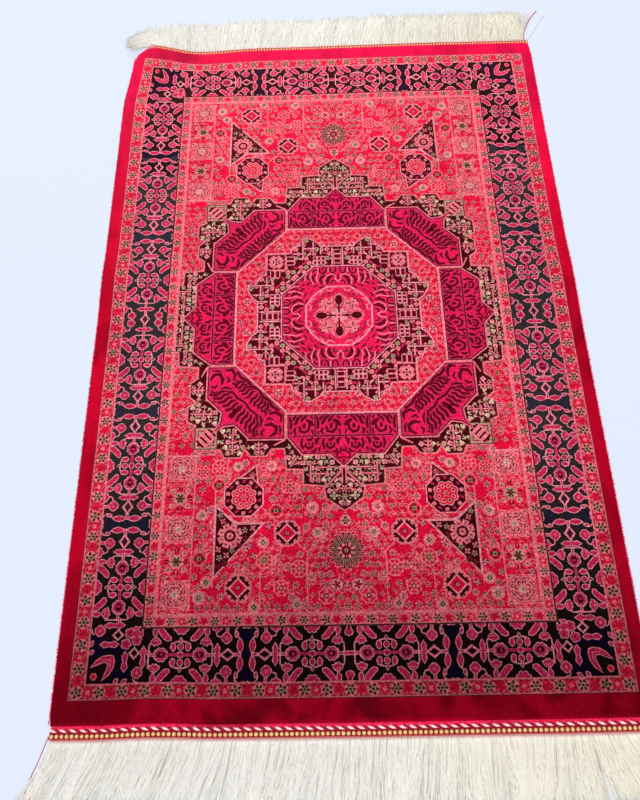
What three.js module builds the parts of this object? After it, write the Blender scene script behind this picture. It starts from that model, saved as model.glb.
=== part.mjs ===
// A small machine-made pile rug lying on a level surface, with a plied cord and a beaded braid
// sewn along its near end, a beaded braid along its far end, and a cut fringe at both ends.
//
// All sizes are in millimetres. X runs across the rug, Y along it from the near end to the far
// end, and Z up. The surface is the plane z = 0, and the origin is under the middle of the star.
//
// Every piece is first drawn flat, as it is sewn, and laid() then moves each of its points to
// where the cloth lies: over the soft rises, and aside where an edge is drawn in.

import * as THREE from "three";

const cloth = { left: -402, right: 400, near: -608, far: 605, thick: 6, columns: 28, rows: 36 };
const rolledRim = 2;
const sewnGap = 0.3;
const endInset = 1.5;
const cord = { diameter: 6.4, sides: 8 };
const braid = { width: 8, thick: 3.6, shoulder: 1.2 };
const fringeBar = 4;
const fringeThick = 2.4;
const fringeFall = 45;
const toothPitch = 22;
const toothRootShare = 0.9;
const toothTipShare = 0.62;
const toothShoulder = 16;
const unevenness = 3;

// The soft rises of the cloth: middle, reach to each side, and height.
const rises = [
  { place: "far left corner", x: -340, y: 594, reachX: 118, reachY: 105, height: 12 },
  { place: "near end, left", x: -285, y: -608, reachX: 110, reachY: 90, height: 2.5 },
  { place: "near end, middle", x: 20, y: -608, reachX: 130, reachY: 80, height: 2 },
  { place: "near end, right", x: 300, y: -608, reachX: 110, reachY: 90, height: 3 },
  { place: "left side, old fold", x: -400, y: 75, reachX: 240, reachY: 80, height: 3.5 },
  { place: "right side, old fold", x: 400, y: 60, reachX: 240, reachY: 90, height: 3.5 },
];

// The places where the cloth lies aside of its true rectangle, and by how much.
const pulls = [
  { place: "far left corner", x: -402, y: 605, reachX: 90, reachY: 100, alongX: 12, alongY: -5 },
  { place: "far edge, left", x: -226, y: 605, reachX: 92, reachY: 70, alongX: 0, alongY: -9 },
  { place: "far right side", x: 400, y: 605, reachX: 500, reachY: 900, alongX: -6, alongY: 0 },
  { place: "near edge, middle", x: 60, y: -608, reachX: 520, reachY: 260, alongX: 0, alongY: -4 },
  { place: "near right side", x: 400, y: -608, reachX: 300, reachY: 500, alongX: 3, alongY: 0 },
];

// How the fringe lies: lean is in degrees from straight out, positive towards +X.
const nearFringe = [
  { x: -394, lean: -18, length: 88 },
  { x: -340, lean: -24, length: 90 },
  { x: -250, lean: -22, length: 88 },
  { x: -60, lean: -8, length: 90 },
  { x: 160, lean: -3, length: 91 },
  { x: 300, lean: -4, length: 90 },
  { x: 322, lean: 15, length: 90 },
  { x: 394, lean: 35, length: 88 },
];
const farFringe = [
  { x: -384, lean: -55, length: 42 },
  { x: -350, lean: -42, length: 64 },
  { x: -310, lean: -14, length: 80 },
  { x: -260, lean: 4, length: 84 },
  { x: -120, lean: 11, length: 86 },
  { x: 120, lean: 9, length: 90 },
  { x: 384, lean: 4, length: 90 },
];

// The loose ends of yarn at two corners, from where each leaves the braid, in order.
const threadRoutes = {
  near_left_thread_outer: [
    [-401.6, -618.6, 1.4], [-403, -623, 1.0], [-405, -629, 0.8], [-407, -635, 0.8], [-409, -641, 0.8],
    [-411, -647, 0.8], [-413, -653, 0.8], [-416, -659, 0.8], [-418, -665, 0.8], [-420, -671, 0.8],
    [-422, -678, 0.8], [-424, -685, 0.8], [-426, -692, 0.8], [-429, -700, 0.8], [-433, -708, 0.8],
  ],
  near_left_thread_inner: [
    [-397.5, -624, 1.2], [-399, -629, 1.0], [-401, -635, 0.8], [-403, -641, 0.8], [-405, -647, 0.8],
    [-407, -653, 0.8], [-408, -659, 0.8], [-410, -665, 0.8], [-411, -671, 0.8], [-413, -678, 0.8],
    [-414, -685, 0.8], [-416, -692, 0.8], [-418, -699, 0.8], [-421, -706, 0.8], [-425, -712, 0.8],
  ],
  far_right_red_yarn: [
    [387, 614.3, 1.8], [386.6, 619, 1.4], [386.8, 625, 1.2], [388, 632, 1.2], [389, 638, 1.2],
    [391, 644, 1.2], [394, 650, 1.2], [396, 656, 1.2], [399, 662, 1.2], [402, 668, 1.2],
    [405, 674, 1.2], [409, 680, 1.2], [413, 686, 1.2], [418, 692, 1.2], [422, 697, 1.2],
  ],
  far_right_cream_yarn: [
    [391.6, 614.2, 1.4], [394, 619, 1.0], [398, 624, 0.8], [402, 630, 0.8], [405, 636, 0.8],
    [408, 641, 0.8], [411, 646, 0.8], [414, 651, 0.8], [417, 656, 0.8], [420, 661, 0.8],
    [423, 666, 0.8], [426, 671, 0.8], [429, 675, 0.8], [432, 679, 0.8], [436, 682, 0.8],
  ],
};
const threadDiameters = {
  near_left_thread_outer: 1.4,
  near_left_thread_inner: 1.4,
  far_right_red_yarn: 2.2,
  far_right_cream_yarn: 1.2,
};

const colours = {
  crimson: 0xb8102f,
  cordRed: 0xa01430,
  gold: 0xd49a45,
  cream: 0xece6d6,
  orangeRed: 0xc8483c,
};

// A bump that is 1 in the middle and falls softly to exactly 0 at its reach.
function softBump(offset, reach) {
  const share = Math.min(1, Math.abs(offset) / reach);
  return (1 - share * share) ** 2;
}

function clampedTo(value, low, high) {
  return Math.min(high, Math.max(low, value));
}

// Where a point of the flat rug lies. Past the cloth's edge a point goes with the nearest edge,
// and the fringe comes down to the surface within its fall.
function laid(x, y, z) {
  const edgeX = clampedTo(x, cloth.left, cloth.right);
  const edgeY = clampedTo(y, cloth.near, cloth.far);
  const heading = cord.diameter + braid.width + fringeBar;
  const past = Math.max(0, Math.abs(y - edgeY) - heading);
  const held = Math.max(0, 1 - past / fringeFall);
  let height = z;
  let movedX = x;
  let movedY = y;
  for (const rise of rises) {
    const share = softBump(edgeX - rise.x, rise.reachX) * softBump(edgeY - rise.y, rise.reachY);
    height += rise.height * share * held;
  }
  for (const pull of pulls) {
    const share = softBump(edgeX - pull.x, pull.reachX) * softBump(edgeY - pull.y, pull.reachY);
    movedX += pull.alongX * share;
    movedY += pull.alongY * share;
  }
  return [movedX, movedY, height];
}

// Moves every vertex of a geometry to what placed(x, y, z) gives for it.
function moveVertices(geometry, placed) {
  const points = geometry.getAttribute("position");
  for (let i = 0; i < points.count; i += 1) {
    const moved = placed(points.getX(i), points.getY(i), points.getZ(i));
    points.setXYZ(i, ...moved);
  }
  geometry.computeVertexNormals();
  return geometry;
}

// Columns and rows lie closer together towards an edge, where the cloth bends most.
function closerAtEdges(share, low, high) {
  return (low + high) / 2 + ((high - low) / 2) * Math.sin((Math.PI / 2) * share);
}

// The pile cloth: one sheet whose top rim is rolled down a little.
function pileCloth() {
  const sheet = new THREE.BoxGeometry(2, 2, cloth.thick, cloth.columns, cloth.rows, 1);
  return moveVertices(sheet, (shareX, shareY, z) => {
    const onRim = Math.max(Math.abs(shareX), Math.abs(shareY)) > 1 - 1e-6;
    const drop = onRim && z > 0 ? rolledRim : 0;
    const x = closerAtEdges(shareX, cloth.left, cloth.right);
    const y = closerAtEdges(shareY, cloth.near, cloth.far);
    return laid(x, y, z + cloth.thick / 2 - drop);
  });
}

// A strip of one section sewn along an end. The section is drawn with its X across the strip and
// its Y up, and middleY is where its middle runs.
function endStrip(section, middleY) {
  const strip = new THREE.ExtrudeGeometry(section, {
    depth: 2,
    steps: cloth.columns,
    bevelEnabled: false,
  });
  return moveVertices(strip, (across, up, along) => {
    const station = closerAtEdges(along - 1, cloth.left, cloth.right);
    const x = clampedTo(station, cloth.left + endInset, cloth.right - endInset);
    return laid(x, middleY + across, up);
  });
}

function cordSection() {
  const section = new THREE.Shape();
  const radius = cord.diameter / 2;
  const middleHeight = radius * Math.cos(Math.PI / cord.sides);
  for (let i = 0; i < cord.sides; i += 1) {
    const turn = ((i + 0.5) / cord.sides) * 2 * Math.PI;
    const point = [radius * Math.cos(turn), middleHeight + radius * Math.sin(turn)];
    if (i === 0) section.moveTo(...point);
    else section.lineTo(...point);
  }
  return section;
}

function braidSection() {
  const half = braid.width / 2;
  const section = new THREE.Shape();
  section.moveTo(-half, 0);
  section.lineTo(half, 0);
  section.lineTo(half, braid.thick - braid.shoulder);
  section.lineTo(half - braid.shoulder, braid.thick);
  section.lineTo(-half + braid.shoulder, braid.thick);
  section.lineTo(-half, braid.thick - braid.shoulder);
  return section;
}

// The row of a fringe table at x, between its two nearest rows.
function fringeAt(table, x) {
  const next = Math.max(1, table.findIndex((row) => row.x >= x));
  const [low, high] = [table[next - 1], table[next]];
  const share = clampedTo((x - low.x) / (high.x - low.x), 0, 1);
  return {
    lean: THREE.MathUtils.degToRad(THREE.MathUtils.lerp(low.lean, high.lean, share)),
    length: THREE.MathUtils.lerp(low.length, high.length, share),
  };
}

// A fringe as one comb: a bar under the braid's outer edge, with a tooth for each lock of
// strands. side is 1 at the far end and -1 at the near end.
function fringeComb(table, barY, side) {
  const first = table[0].x;
  const last = table[table.length - 1].x;
  const count = Math.round((last - first) / toothPitch);
  const pitch = (last - first) / count;
  const rootY = barY + side * fringeBar;
  const flatOutline = [[first, barY]];
  for (let i = 1; i < cloth.columns; i += 1) {
    const station = closerAtEdges((2 * i) / cloth.columns - 1, cloth.left, cloth.right);
    if (station > first && station < last) flatOutline.push([station, barY]);
  }
  flatOutline.push([last, barY]);
  for (let i = count - 1; i >= 0; i -= 1) {
    const middle = first + (i + 0.5) * pitch;
    const { lean, length } = fringeAt(table, middle);
    const reach = length - fringeBar + unevenness * Math.sin(2.4 * i);
    const halfRoot = (pitch * toothRootShare) / 2;
    const halfTip = (pitch * toothTipShare) / 2;
    const station = (half, distance) => [
      middle + half + distance * Math.sin(lean),
      rootY + side * distance * Math.cos(lean),
    ];
    flatOutline.push(
      [middle + halfRoot, rootY],
      station(halfRoot, toothShoulder),
      station(halfTip, reach),
      station(-halfTip, reach),
      station(-halfRoot, toothShoulder),
      [middle - halfRoot, rootY],
    );
  }
  const laidPoints = flatOutline.map(([x, y]) => new THREE.Vector3(...laid(x, y, 0)));
  const comb = new THREE.ExtrudeGeometry(new THREE.Shape(laidPoints), {
    depth: fringeThick,
    steps: 1,
    bevelEnabled: false,
  });
  return moveVertices(comb, (x, y, z) => {
    const corner = laidPoints.find((p) => Math.hypot(p.x - x, p.y - y) < 1e-3);
    return [x, y, z + corner.z];
  });
}

// A loose end of yarn along its route.
function thread(route, diameter) {
  const path = new THREE.CatmullRomCurve3(route.map((point) => new THREE.Vector3(...point)));
  const section = new THREE.Shape();
  const sides = 8;
  for (let i = 0; i < sides; i += 1) {
    const turn = (i / sides) * 2 * Math.PI;
    const point = [(diameter / 2) * Math.cos(turn), (diameter / 2) * Math.sin(turn)];
    if (i === 0) section.moveTo(...point);
    else section.lineTo(...point);
  }
  return new THREE.ExtrudeGeometry(section, {
    steps: Math.round(path.getLength() / (3 * diameter)),
    bevelEnabled: false,
    extrudePath: path,
  });
}

function piece(name, geometry, color, roughness) {
  const material = new THREE.MeshStandardMaterial({ color, roughness, metalness: 0 });
  const mesh = new THREE.Mesh(geometry, material);
  mesh.name = name;
  return mesh;
}

const nearCordY = cloth.near - sewnGap - cord.diameter / 2;
const nearBraidY = nearCordY - cord.diameter / 2 - sewnGap - braid.width / 2;
const nearBarY = nearBraidY - braid.width / 2 - sewnGap;
const farBraidY = cloth.far + sewnGap + braid.width / 2;
const farBarY = farBraidY + braid.width / 2 + sewnGap;

const group = new THREE.Group();
group.name = "machine_made_rug";
group.add(
  piece("pile_cloth", pileCloth(), colours.crimson, 0.85),
  piece("near_plied_cord", endStrip(cordSection(), nearCordY), colours.cordRed, 0.7),
  piece("near_beaded_braid", endStrip(braidSection(), nearBraidY), colours.gold, 0.5),
  piece("far_beaded_braid", endStrip(braidSection(), farBraidY), colours.gold, 0.5),
  piece("near_fringe", fringeComb(nearFringe, nearBarY, -1), colours.cream, 0.6),
  piece("far_fringe", fringeComb(farFringe, farBarY, 1), colours.cream, 0.6),
);
for (const [name, route] of Object.entries(threadRoutes)) {
  const color = name.includes("cream") ? colours.cream : colours.orangeRed;
  group.add(piece(name, thread(route, threadDiameters[name]), color, 0.6));
}

export default group;
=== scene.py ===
"""The looks of a small machine-made pile rug lying flat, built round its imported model.

X runs across the rug, Y along it from the near end to the far end, and Z up. The origin is on
the surface under the middle of the star. Lengths are in metres.
"""
import random
from functools import partialmethod
from math import ceil, cos, hypot, pi, radians, sin, sqrt

import bpy
import numpy as np
from mathutils import Matrix, Vector
from mathutils.bvhtree import BVHTree
from mathutils.geometry import delaunay_2d_cdt


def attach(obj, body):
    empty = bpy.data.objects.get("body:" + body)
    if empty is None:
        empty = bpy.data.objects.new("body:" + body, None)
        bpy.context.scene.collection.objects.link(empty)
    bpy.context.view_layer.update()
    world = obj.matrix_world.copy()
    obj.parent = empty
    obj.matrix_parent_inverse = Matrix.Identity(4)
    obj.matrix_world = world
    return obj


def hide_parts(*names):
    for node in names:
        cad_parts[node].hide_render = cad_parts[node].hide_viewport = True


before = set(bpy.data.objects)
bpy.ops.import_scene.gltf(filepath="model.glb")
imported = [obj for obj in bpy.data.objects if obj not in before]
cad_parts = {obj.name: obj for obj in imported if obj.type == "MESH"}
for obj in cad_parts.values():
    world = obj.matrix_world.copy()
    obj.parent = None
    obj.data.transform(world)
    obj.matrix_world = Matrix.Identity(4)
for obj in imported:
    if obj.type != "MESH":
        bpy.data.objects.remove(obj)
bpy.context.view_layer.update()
scene = bpy.context.scene

# The camera.
# ----------------------------------------
camera_place = (-0.02649, -0.52113, 0.95893)
camera_right = Vector((0.99976, -0.01606, -0.01457))
camera_up = Vector((0.02025, 0.93171, 0.36263))
camera_lens = 29.25
camera_sensor = 36.0


def make_camera():
    data = bpy.data.cameras.new("camera")
    data.lens = camera_lens
    data.sensor_width = camera_sensor
    data.sensor_fit = "AUTO"
    data.clip_start = 0.01
    camera = bpy.data.objects.new("camera", data)
    scene.collection.objects.link(camera)
    back = camera_right.cross(camera_up).normalized()
    side = camera_up.cross(back).normalized()
    turn = Matrix((side, back.cross(side), back)).transposed()
    camera.matrix_world = Matrix.Translation(camera_place) @ turn.to_4x4()
    scene.camera = camera


make_camera()

# Sizes, and how the rug lies.
# ----------------------------------------
cloth = {"left": -0.402, "right": 0.4, "near": -0.608, "far": 0.605, "thick": 0.006}
sewn_gap = 0.0003
end_inset = 0.0015
cord_diameter = 0.0064
braid_width = 0.008
fringe_bar = 0.004
fringe_fall = 0.045

# The soft rises of the cloth: middle, reach to each side, and height.
rises = [
    (-0.368, 0.594, 0.112, 0.105, 0.012), (-0.285, -0.608, 0.11, 0.09, 0.0025),
    (0.02, -0.608, 0.13, 0.08, 0.002), (0.3, -0.608, 0.11, 0.09, 0.003), (-0.4, 0.075, 0.24, 0.08, 0.0035),
    (0.4, 0.06, 0.24, 0.09, 0.0035),
]
# Where the cloth lies aside of its true rectangle: middle, reach to each side, and how far.
pulls = [
    (-0.402, 0.605, 0.12, 0.14, 0.016, 0.0), (-0.402, 0.605, 0.034, 0.026, 0.012, -0.006),
    (-0.27, 0.605, 0.13, 0.09, 0.0, -0.007), (-0.15, 0.605, 0.35, 0.3, 0.0, -0.004),
    (0.4, 0.605, 0.5, 0.9, -0.006, 0.0), (0.06, -0.608, 0.52, 0.26, 0.0, -0.0014),
    (-0.262, -0.608, 0.085, 0.16, 0.0, 0.002), (0.4, -0.608, 0.3, 0.5, 0.003, 0.0),
]
# How a fringe lies: place across, lean from straight out in degrees, and length.
near_fringe_rows = [
    (-0.394, -20, 0.088), (-0.34, -26, 0.09), (-0.25, -24, 0.088), (-0.06, -9, 0.09),
    (0.16, -3, 0.091), (0.3, -4, 0.09), (0.322, 17, 0.09), (0.394, 39, 0.088),
]
far_fringe_rows = [
    (-0.384, -86, 0.036), (-0.376, -66, 0.056), (-0.366, -48, 0.07), (-0.352, -34, 0.08),
    (-0.33, -22, 0.088), (-0.29, -8, 0.088), (-0.25, 2, 0.087), (-0.12, 10, 0.086),
    (0.12, 9, 0.09), (0.384, 4, 0.09),
]

near_cord_y = cloth["near"] - sewn_gap - cord_diameter / 2
near_braid_y = near_cord_y - cord_diameter / 2 - sewn_gap - braid_width / 2
near_bar_y = near_braid_y - braid_width / 2 - sewn_gap
far_braid_y = cloth["far"] + sewn_gap + braid_width / 2
far_bar_y = far_braid_y + braid_width / 2 + sewn_gap


def soft_bump(offset, reach):
    share = np.minimum(1.0, np.abs(offset) / reach)
    return (1 - share * share) ** 2


def laid(flat):
    """Where points of the flat rug lie. Past the cloth's edge they go with the nearest edge."""
    flat = np.asarray(flat, float)
    x, y = flat[:, 0], flat[:, 1]
    edge_x = np.clip(x, cloth["left"], cloth["right"])
    edge_y = np.clip(y, cloth["near"], cloth["far"])
    heading = cord_diameter + braid_width + fringe_bar
    past = np.maximum(0, np.abs(y - edge_y) - heading)
    held = np.maximum(0, 1 - past / fringe_fall)
    lie = flat.copy()
    for middle_x, middle_y, reach_x, reach_y, height in rises:
        share = soft_bump(edge_x - middle_x, reach_x) * soft_bump(edge_y - middle_y, reach_y)
        lie[:, 2] += height * share * held
    for middle_x, middle_y, reach_x, reach_y, along_x, along_y in pulls:
        share = soft_bump(edge_x - middle_x, reach_x) * soft_bump(edge_y - middle_y, reach_y)
        lie[:, 0] += along_x * share
        lie[:, 1] += along_y * share
    return lie


# Making meshes.
# ----------------------------------------
def make_piece(name, points, faces):
    mesh = bpy.data.meshes.new(name)
    mesh.from_pydata([tuple(map(float, p)) for p in points], [], faces)
    mesh.validate()
    mesh.polygons.foreach_set("use_smooth", [True] * len(mesh.polygons))
    piece = bpy.data.objects.new(name, mesh)
    scene.collection.objects.link(piece)
    return piece


def along_curve(points, count):
    """Points spread evenly along a smooth curve through the given ones."""
    points = [Vector(p) for p in points]
    padded = [2 * points[0] - points[1]] + points + [2 * points[-1] - points[-2]]
    fine = []
    for a, b, c, d in zip(padded, padded[1:], padded[2:], padded[3:]):
        for i in range(8):
            t = i / 8
            fine.append(
                0.5 * (2 * b + (c - a) * t + (2 * a - 5 * b + 4 * c - d) * t * t
                       + (3 * b - a - 3 * c + d) * t ** 3)
            )
    fine.append(points[-1])
    fine = np.array([tuple(p) for p in fine])
    run = np.concatenate([[0], np.cumsum(np.linalg.norm(np.diff(fine, axis=0), axis=1))])
    wanted = np.linspace(0, run[-1], count)
    return np.stack([np.interp(wanted, run, fine[:, k]) for k in range(3)], axis=1), run[-1]


def tubes(lines, radii, sides):
    """Closed round tubes along lines of points, all in one mesh's points and faces.

    lines is an array of tube, station and place, and radii one of tube and station. It also
    gives each point's distance along its tube, its turn round it and its tube's number."""
    lines = np.asarray(lines, float)
    count, stations, _ = lines.shape
    run = np.gradient(lines, axis=1)
    run /= np.linalg.norm(run, axis=2, keepdims=True) + 1e-12
    side = np.cross(run, (0.0, 0.0, 1.0))
    side /= np.linalg.norm(side, axis=2, keepdims=True) + 1e-12
    rise = np.cross(side, run)
    turn = np.arange(sides) / sides * 2 * np.pi
    ring = (
        side[:, :, None, :] * np.cos(turn)[None, None, :, None]
        + rise[:, :, None, :] * np.sin(turn)[None, None, :, None]
    ) * np.asarray(radii, float)[:, :, None, None]
    points = (lines[:, :, None, :] + ring).reshape(-1, 3)
    first = (np.arange(count) * stations * sides)[:, None, None]
    station = (np.arange(stations - 1) * sides)[None, :, None]
    here = np.arange(sides)[None, None, :]
    after = (here + 1) % sides
    base = first + station
    quads = np.stack(
        [base + here, base + sides + here, base + sides + after, base + after], axis=-1
    ).reshape(-1, 4).tolist()
    caps = []
    for i in range(count):
        start = i * stations * sides
        end = start + (stations - 1) * sides
        caps.append([start + k for k in range(sides)])
        caps.append([end + k for k in reversed(range(sides))])
    length = np.concatenate(
        [np.zeros((count, 1)), np.cumsum(np.linalg.norm(np.diff(lines, axis=1), axis=2), axis=1)],
        axis=1,
    )
    along = np.repeat(length.reshape(-1), sides)
    round_it = np.tile(np.arange(sides) / sides, count * stations)
    number = np.repeat(np.arange(count), stations * sides)
    return points, quads + caps, (along, round_it, number)


def tube(line, radius, sides):
    """One tube along a line, of one radius or of a radius for each of the line's points."""
    return tubes(line[None], np.ones((1, len(line))) * np.array(radius), sides)


def write_attribute(piece, name, values, kind="FLOAT", domain="POINT"):
    attribute = piece.data.attributes.new(name, kind, domain)
    field = {"FLOAT": "value", "FLOAT_VECTOR": "vector", "FLOAT_COLOR": "color"}[kind]
    attribute.data.foreach_set(field, np.asarray(values, np.float32).reshape(-1))


def settle(piece, node, slot, *materials):
    """Gives a piece its materials, parents it to the root body and hides the model's node that it stands
    for.
    """
    for material in materials:
        piece.data.materials.append(material)
    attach(piece, "root")
    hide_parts(node)


# The loose ends of yarn at two corners: diameter, and the route from where each leaves a braid.
# ----------------------------------------
thread_routes = {
    "near_left_thread_outer": (0.0014, [
        (-401.6, -618.6, 1.4), (-403, -623, 1.0), (-405, -629, 0.8), (-407, -635, 0.8), (-409, -641, 0.8),
        (-411, -647, 0.8), (-413, -653, 0.8), (-416, -659, 0.8), (-418, -665, 0.8), (-420, -671, 0.8),
        (-422, -678, 0.8), (-424, -685, 0.8), (-426, -692, 0.8), (-429, -700, 0.8), (-433, -708, 0.8),
    ]),
    "near_left_thread_inner": (0.0014, [
        (-397.5, -624, 1.2), (-399, -629, 1.0), (-401, -635, 0.8), (-403, -641, 0.8), (-405, -647, 0.8),
        (-407, -653, 0.8), (-408, -659, 0.8), (-410, -665, 0.8), (-411, -671, 0.8), (-413, -678, 0.8),
        (-414, -685, 0.8), (-416, -692, 0.8), (-418, -699, 0.8), (-421, -706, 0.8), (-425, -712, 0.8),
    ]),
    "far_right_red_yarn": (0.0022, [
        (387, 614.3, 1.8), (386.6, 619, 1.4), (386.8, 625, 1.2), (388, 632, 1.2), (389, 638, 1.2),
        (391, 644, 1.2), (394, 650, 1.2), (396, 656, 1.2), (399, 662, 1.2), (402, 668, 1.2),
        (405, 674, 1.2), (409, 680, 1.2), (413, 686, 1.2), (418, 692, 1.2), (422, 697, 1.2),
    ]),
    "far_right_cream_yarn": (0.0012, [
        (391.6, 614.2, 1.4), (394, 619, 1.0), (398, 624, 0.8), (402, 630, 0.8), (405, 636, 0.8),
        (408, 641, 0.8), (411, 646, 0.8), (414, 651, 0.8), (417, 656, 0.8), (420, 661, 0.8),
        (423, 666, 0.8), (426, 671, 0.8), (429, 675, 0.8), (432, 679, 0.8), (436, 682, 0.8),
    ]),
}
thread_pieces = {}


def make_threads():
    for name, (diameter, route) in thread_routes.items():
        route = [tuple(value / 1000 for value in point) for point in route]
        line, length = along_curve(route, 60)
        points, faces, (along, round_it, _) = tube(line, diameter / 2, 10)
        piece = make_piece(name + "_spun", points, faces)
        write_attribute(piece, "along", along)
        write_attribute(piece, "round_it", round_it)
        settle(piece, name, "fringe_yarn" if "cream" in name else "red_thread")
        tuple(route[0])
        [tuple(p) for p in line]
        thread_pieces[name] = piece


make_threads()

# The chart: the pattern of one quarter of the rug, as flat shapes laid one over another. Its
# corner is the middle of the star, its first number runs towards the rug's side and its second
# towards the rug's end. All its lengths are in chart_unit, given here in metres.
chart_unit = 0.376e-3
guard_outer = (1013, 1532)
border_outer = (951, 1476)
border_inner = (765, 1292)
field_edge = (713, 1240)
border_middle = (858, 1384)
chart_edge = (1037, 1582)
figure_edge = 3
guard_pitch = 79.5

yarn_colours = {
    "crimson": (192, 5, 40),
    "scarlet": (238, 18, 62),
    "madder": (192, 34, 56),
    "cerise": (240, 28, 86),
    "maroon": (112, 4, 25),
    "wine": (86, 7, 20),
    "umber": (70, 7, 17),
    "black": (22, 13, 14),
    "navy": (5, 9, 36),
    "pink": (208, 42, 88),
    "rose": (246, 144, 158),
    "mauve": (198, 58, 104),
    "salmon": (244, 122, 134),
    "olive": (180, 146, 118),
    "sand": (216, 192, 160),
    "cocoa": (76, 42, 36),
    "russet": (132, 38, 48),
}

# How wide a blade is along its length, as (share of length, share of width).
blade_shapes = {
    "leaf": ((0, 0), (0.18, 0.6), (0.5, 1), (0.82, 0.6), (1, 0)),
    "drop": ((0, 0.12), (0.4, 0.5), (0.68, 1), (0.88, 0.85), (1, 0)),
    "bar": ((0, 0), (0.1, 0.85), (0.3, 1), (0.7, 1), (0.9, 0.85), (1, 0)),
    "waist": ((0, 0), (0.2, 1), (0.38, 0.75), (0.5, 0.45), (0.62, 0.75), (0.8, 1), (1, 0)),
}


def oval(x, y, across, up, corners=8, turn=0.0):
    """An oval, or with few corners a square, hexagon or diamond."""
    outline = []
    for i in range(corners):
        angle = turn + 2 * pi * i / corners
        outline.append((x + across / 2 * cos(angle), y + up / 2 * sin(angle)))
    return outline


def disc(x, y, across, corners=8):
    return oval(x, y, across, across, corners)


def diamond(x, y, across, up):
    return oval(x, y, across, up, 4)


def panel(low_x, low_y, high_x, high_y):
    return [(low_x, low_y), (high_x, low_y), (high_x, high_y), (low_x, high_y)]


def square(x, y, reach):
    return panel(x - reach, y - reach, x + reach, y + reach)


def four_corners(x, y, reach):
    return [(x + across * reach, y + up * reach) for across in (-1, 1) for up in (-1, 1)]


def around(x, y, ring, count, start=0.0):
    """Evenly spaced places on a ring, each after its angle."""
    for i in range(count):
        angle = start + 2 * pi * i / count
        yield angle, (x + ring * cos(angle), y + ring * sin(angle))


def staggered(step, columns, rows, lift=0.5):
    """Places in rows, every other row shifted by half a step, each after its column and row."""
    for row in range(rows):
        for column in range(columns):
            yield column, row, (column + 0.5 * (row % 2)) * step, (row + lift) * step


def across_diagonal(outline):
    return [(y, x) for x, y in outline]


def octagon(x, y, reach):
    """An octagon with flat sides towards both axes, reach being the distance to its sides."""
    across = 2 * reach / cos(pi / 8)
    return oval(x, y, across, across, 8, pi / 8)


def lobed(x, y, reach, lobes, depth=0.25, turn=0.0):
    """A flower outline: three corners to a lobe."""
    outline = []
    for i in range(3 * lobes):
        angle = turn + 2 * pi * i / (3 * lobes)
        share = 1 - depth if i % 3 == 0 else 1
        outline.append((x + reach * share * cos(angle), y + reach * share * sin(angle)))
    return outline


def blade(start, end, width, shape="leaf", bow=0.0):
    """A leaf, drop or bar from one point to another, bowed to its left by bow."""
    run = (end[0] - start[0], end[1] - start[1])
    length = hypot(*run)
    side = (-run[1] / length, run[0] / length)
    left, right = [], []
    for along, wide in blade_shapes[shape]:
        aside = bow * 4 * along * (1 - along)
        x = start[0] + run[0] * along + side[0] * aside
        y = start[1] + run[1] * along + side[1] * aside
        half = width / 2 * wide
        right.append((x - side[0] * half, y - side[1] * half))
        if half > 0:
            left.append((x + side[0] * half, y + side[1] * half))
    return right + left[::-1]


def stem(points, width):
    """A line of one width along some points."""
    return stroke(points, width, 1.0)


def stroke(points, width, ends=0.35):
    """A brush stroke along some points, narrower at both its ends."""
    left, right = [], []
    for i, point in enumerate(points):
        before = points[max(0, i - 1)]
        after = points[min(len(points) - 1, i + 1)]
        run = (after[0] - before[0], after[1] - before[1])
        half = width / 2 * (ends if i in (0, len(points) - 1) else 1.0) / hypot(*run)
        left.append((point[0] - run[1] * half, point[1] + run[0] * half))
        right.append((point[0] + run[1] * half, point[1] - run[0] * half))
    return right + left[::-1]


def moved(outline, by):
    return [(x + by[0], y + by[1]) for x, y in outline]


def area_of(outline):
    return sum(
        a[0] * b[1] - b[0] * a[1] for a, b in zip(outline, outline[1:] + outline[:1])
    ) / 2


def grown(outline, by):
    """The outline moved outwards by a width."""
    if area_of(outline) < 0:
        outline = outline[::-1]
    wider = []
    count = len(outline)
    for i, point in enumerate(outline):
        before, after = outline[i - 1], outline[(i + 1) % count]
        ins = (point[0] - before[0], point[1] - before[1])
        out = (after[0] - point[0], after[1] - point[1])
        in_length, out_length = hypot(*ins), hypot(*out)
        normal = (
            ins[1] / in_length + out[1] / out_length,
            -ins[0] / in_length - out[0] / out_length,
        )
        size = hypot(*normal) or 1.0
        reach = by * min(1.6, 2 / size)
        wider.append((point[0] + normal[0] / size * reach, point[1] + normal[1] / size * reach))
    return wider


def inside(point, outline):
    """True if the point is within the outline."""
    x, y = point
    within = False
    for (ax, ay), (bx, by) in zip(outline, outline[1:] + outline[:1]):
        if (ay > y) != (by > y) and x < ax + (y - ay) * (bx - ax) / (by - ay):
            within = not within
    return within


# Each shape of the chart: its outline, its yarn and, where its knots draw something themselves,
# the petals (0 for a diamond, or one of the kinds below), middle, reach, turn and two yarns.
chart = []
plain = -1
sown = -2
# The plain band: its pile lies this way and that, shown as patches of painted sheen and shade.
nap_and_sheen_band = -3
unturned = (0, 0, 1000, 0)


def lay(outline, yarn):
    chart.append((outline, yarn, None))


def lay_nested(outline, *steps):
    """Lays an outline several times, each time grown by a step and in that step's yarn."""
    for by, yarn in steps:
        lay(grown(outline, by), yarn)


def lay_edged(figures):
    """Lays navy grounds, then the edges of the figures that have an edge yarn, then the fills."""
    for outline, yarn, *_ in figures:
        if yarn == "navy":
            lay(outline, yarn)
    for outline, _, *edges in figures:
        for edge in edges:
            lay(grown(outline, figure_edge), edge)
    for outline, yarn, *_ in figures:
        if yarn != "navy":
            lay(outline, yarn)


def pink(outline):
    """A pink figure of the border with a rose edge."""
    return outline, "pink", "rose"


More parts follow.
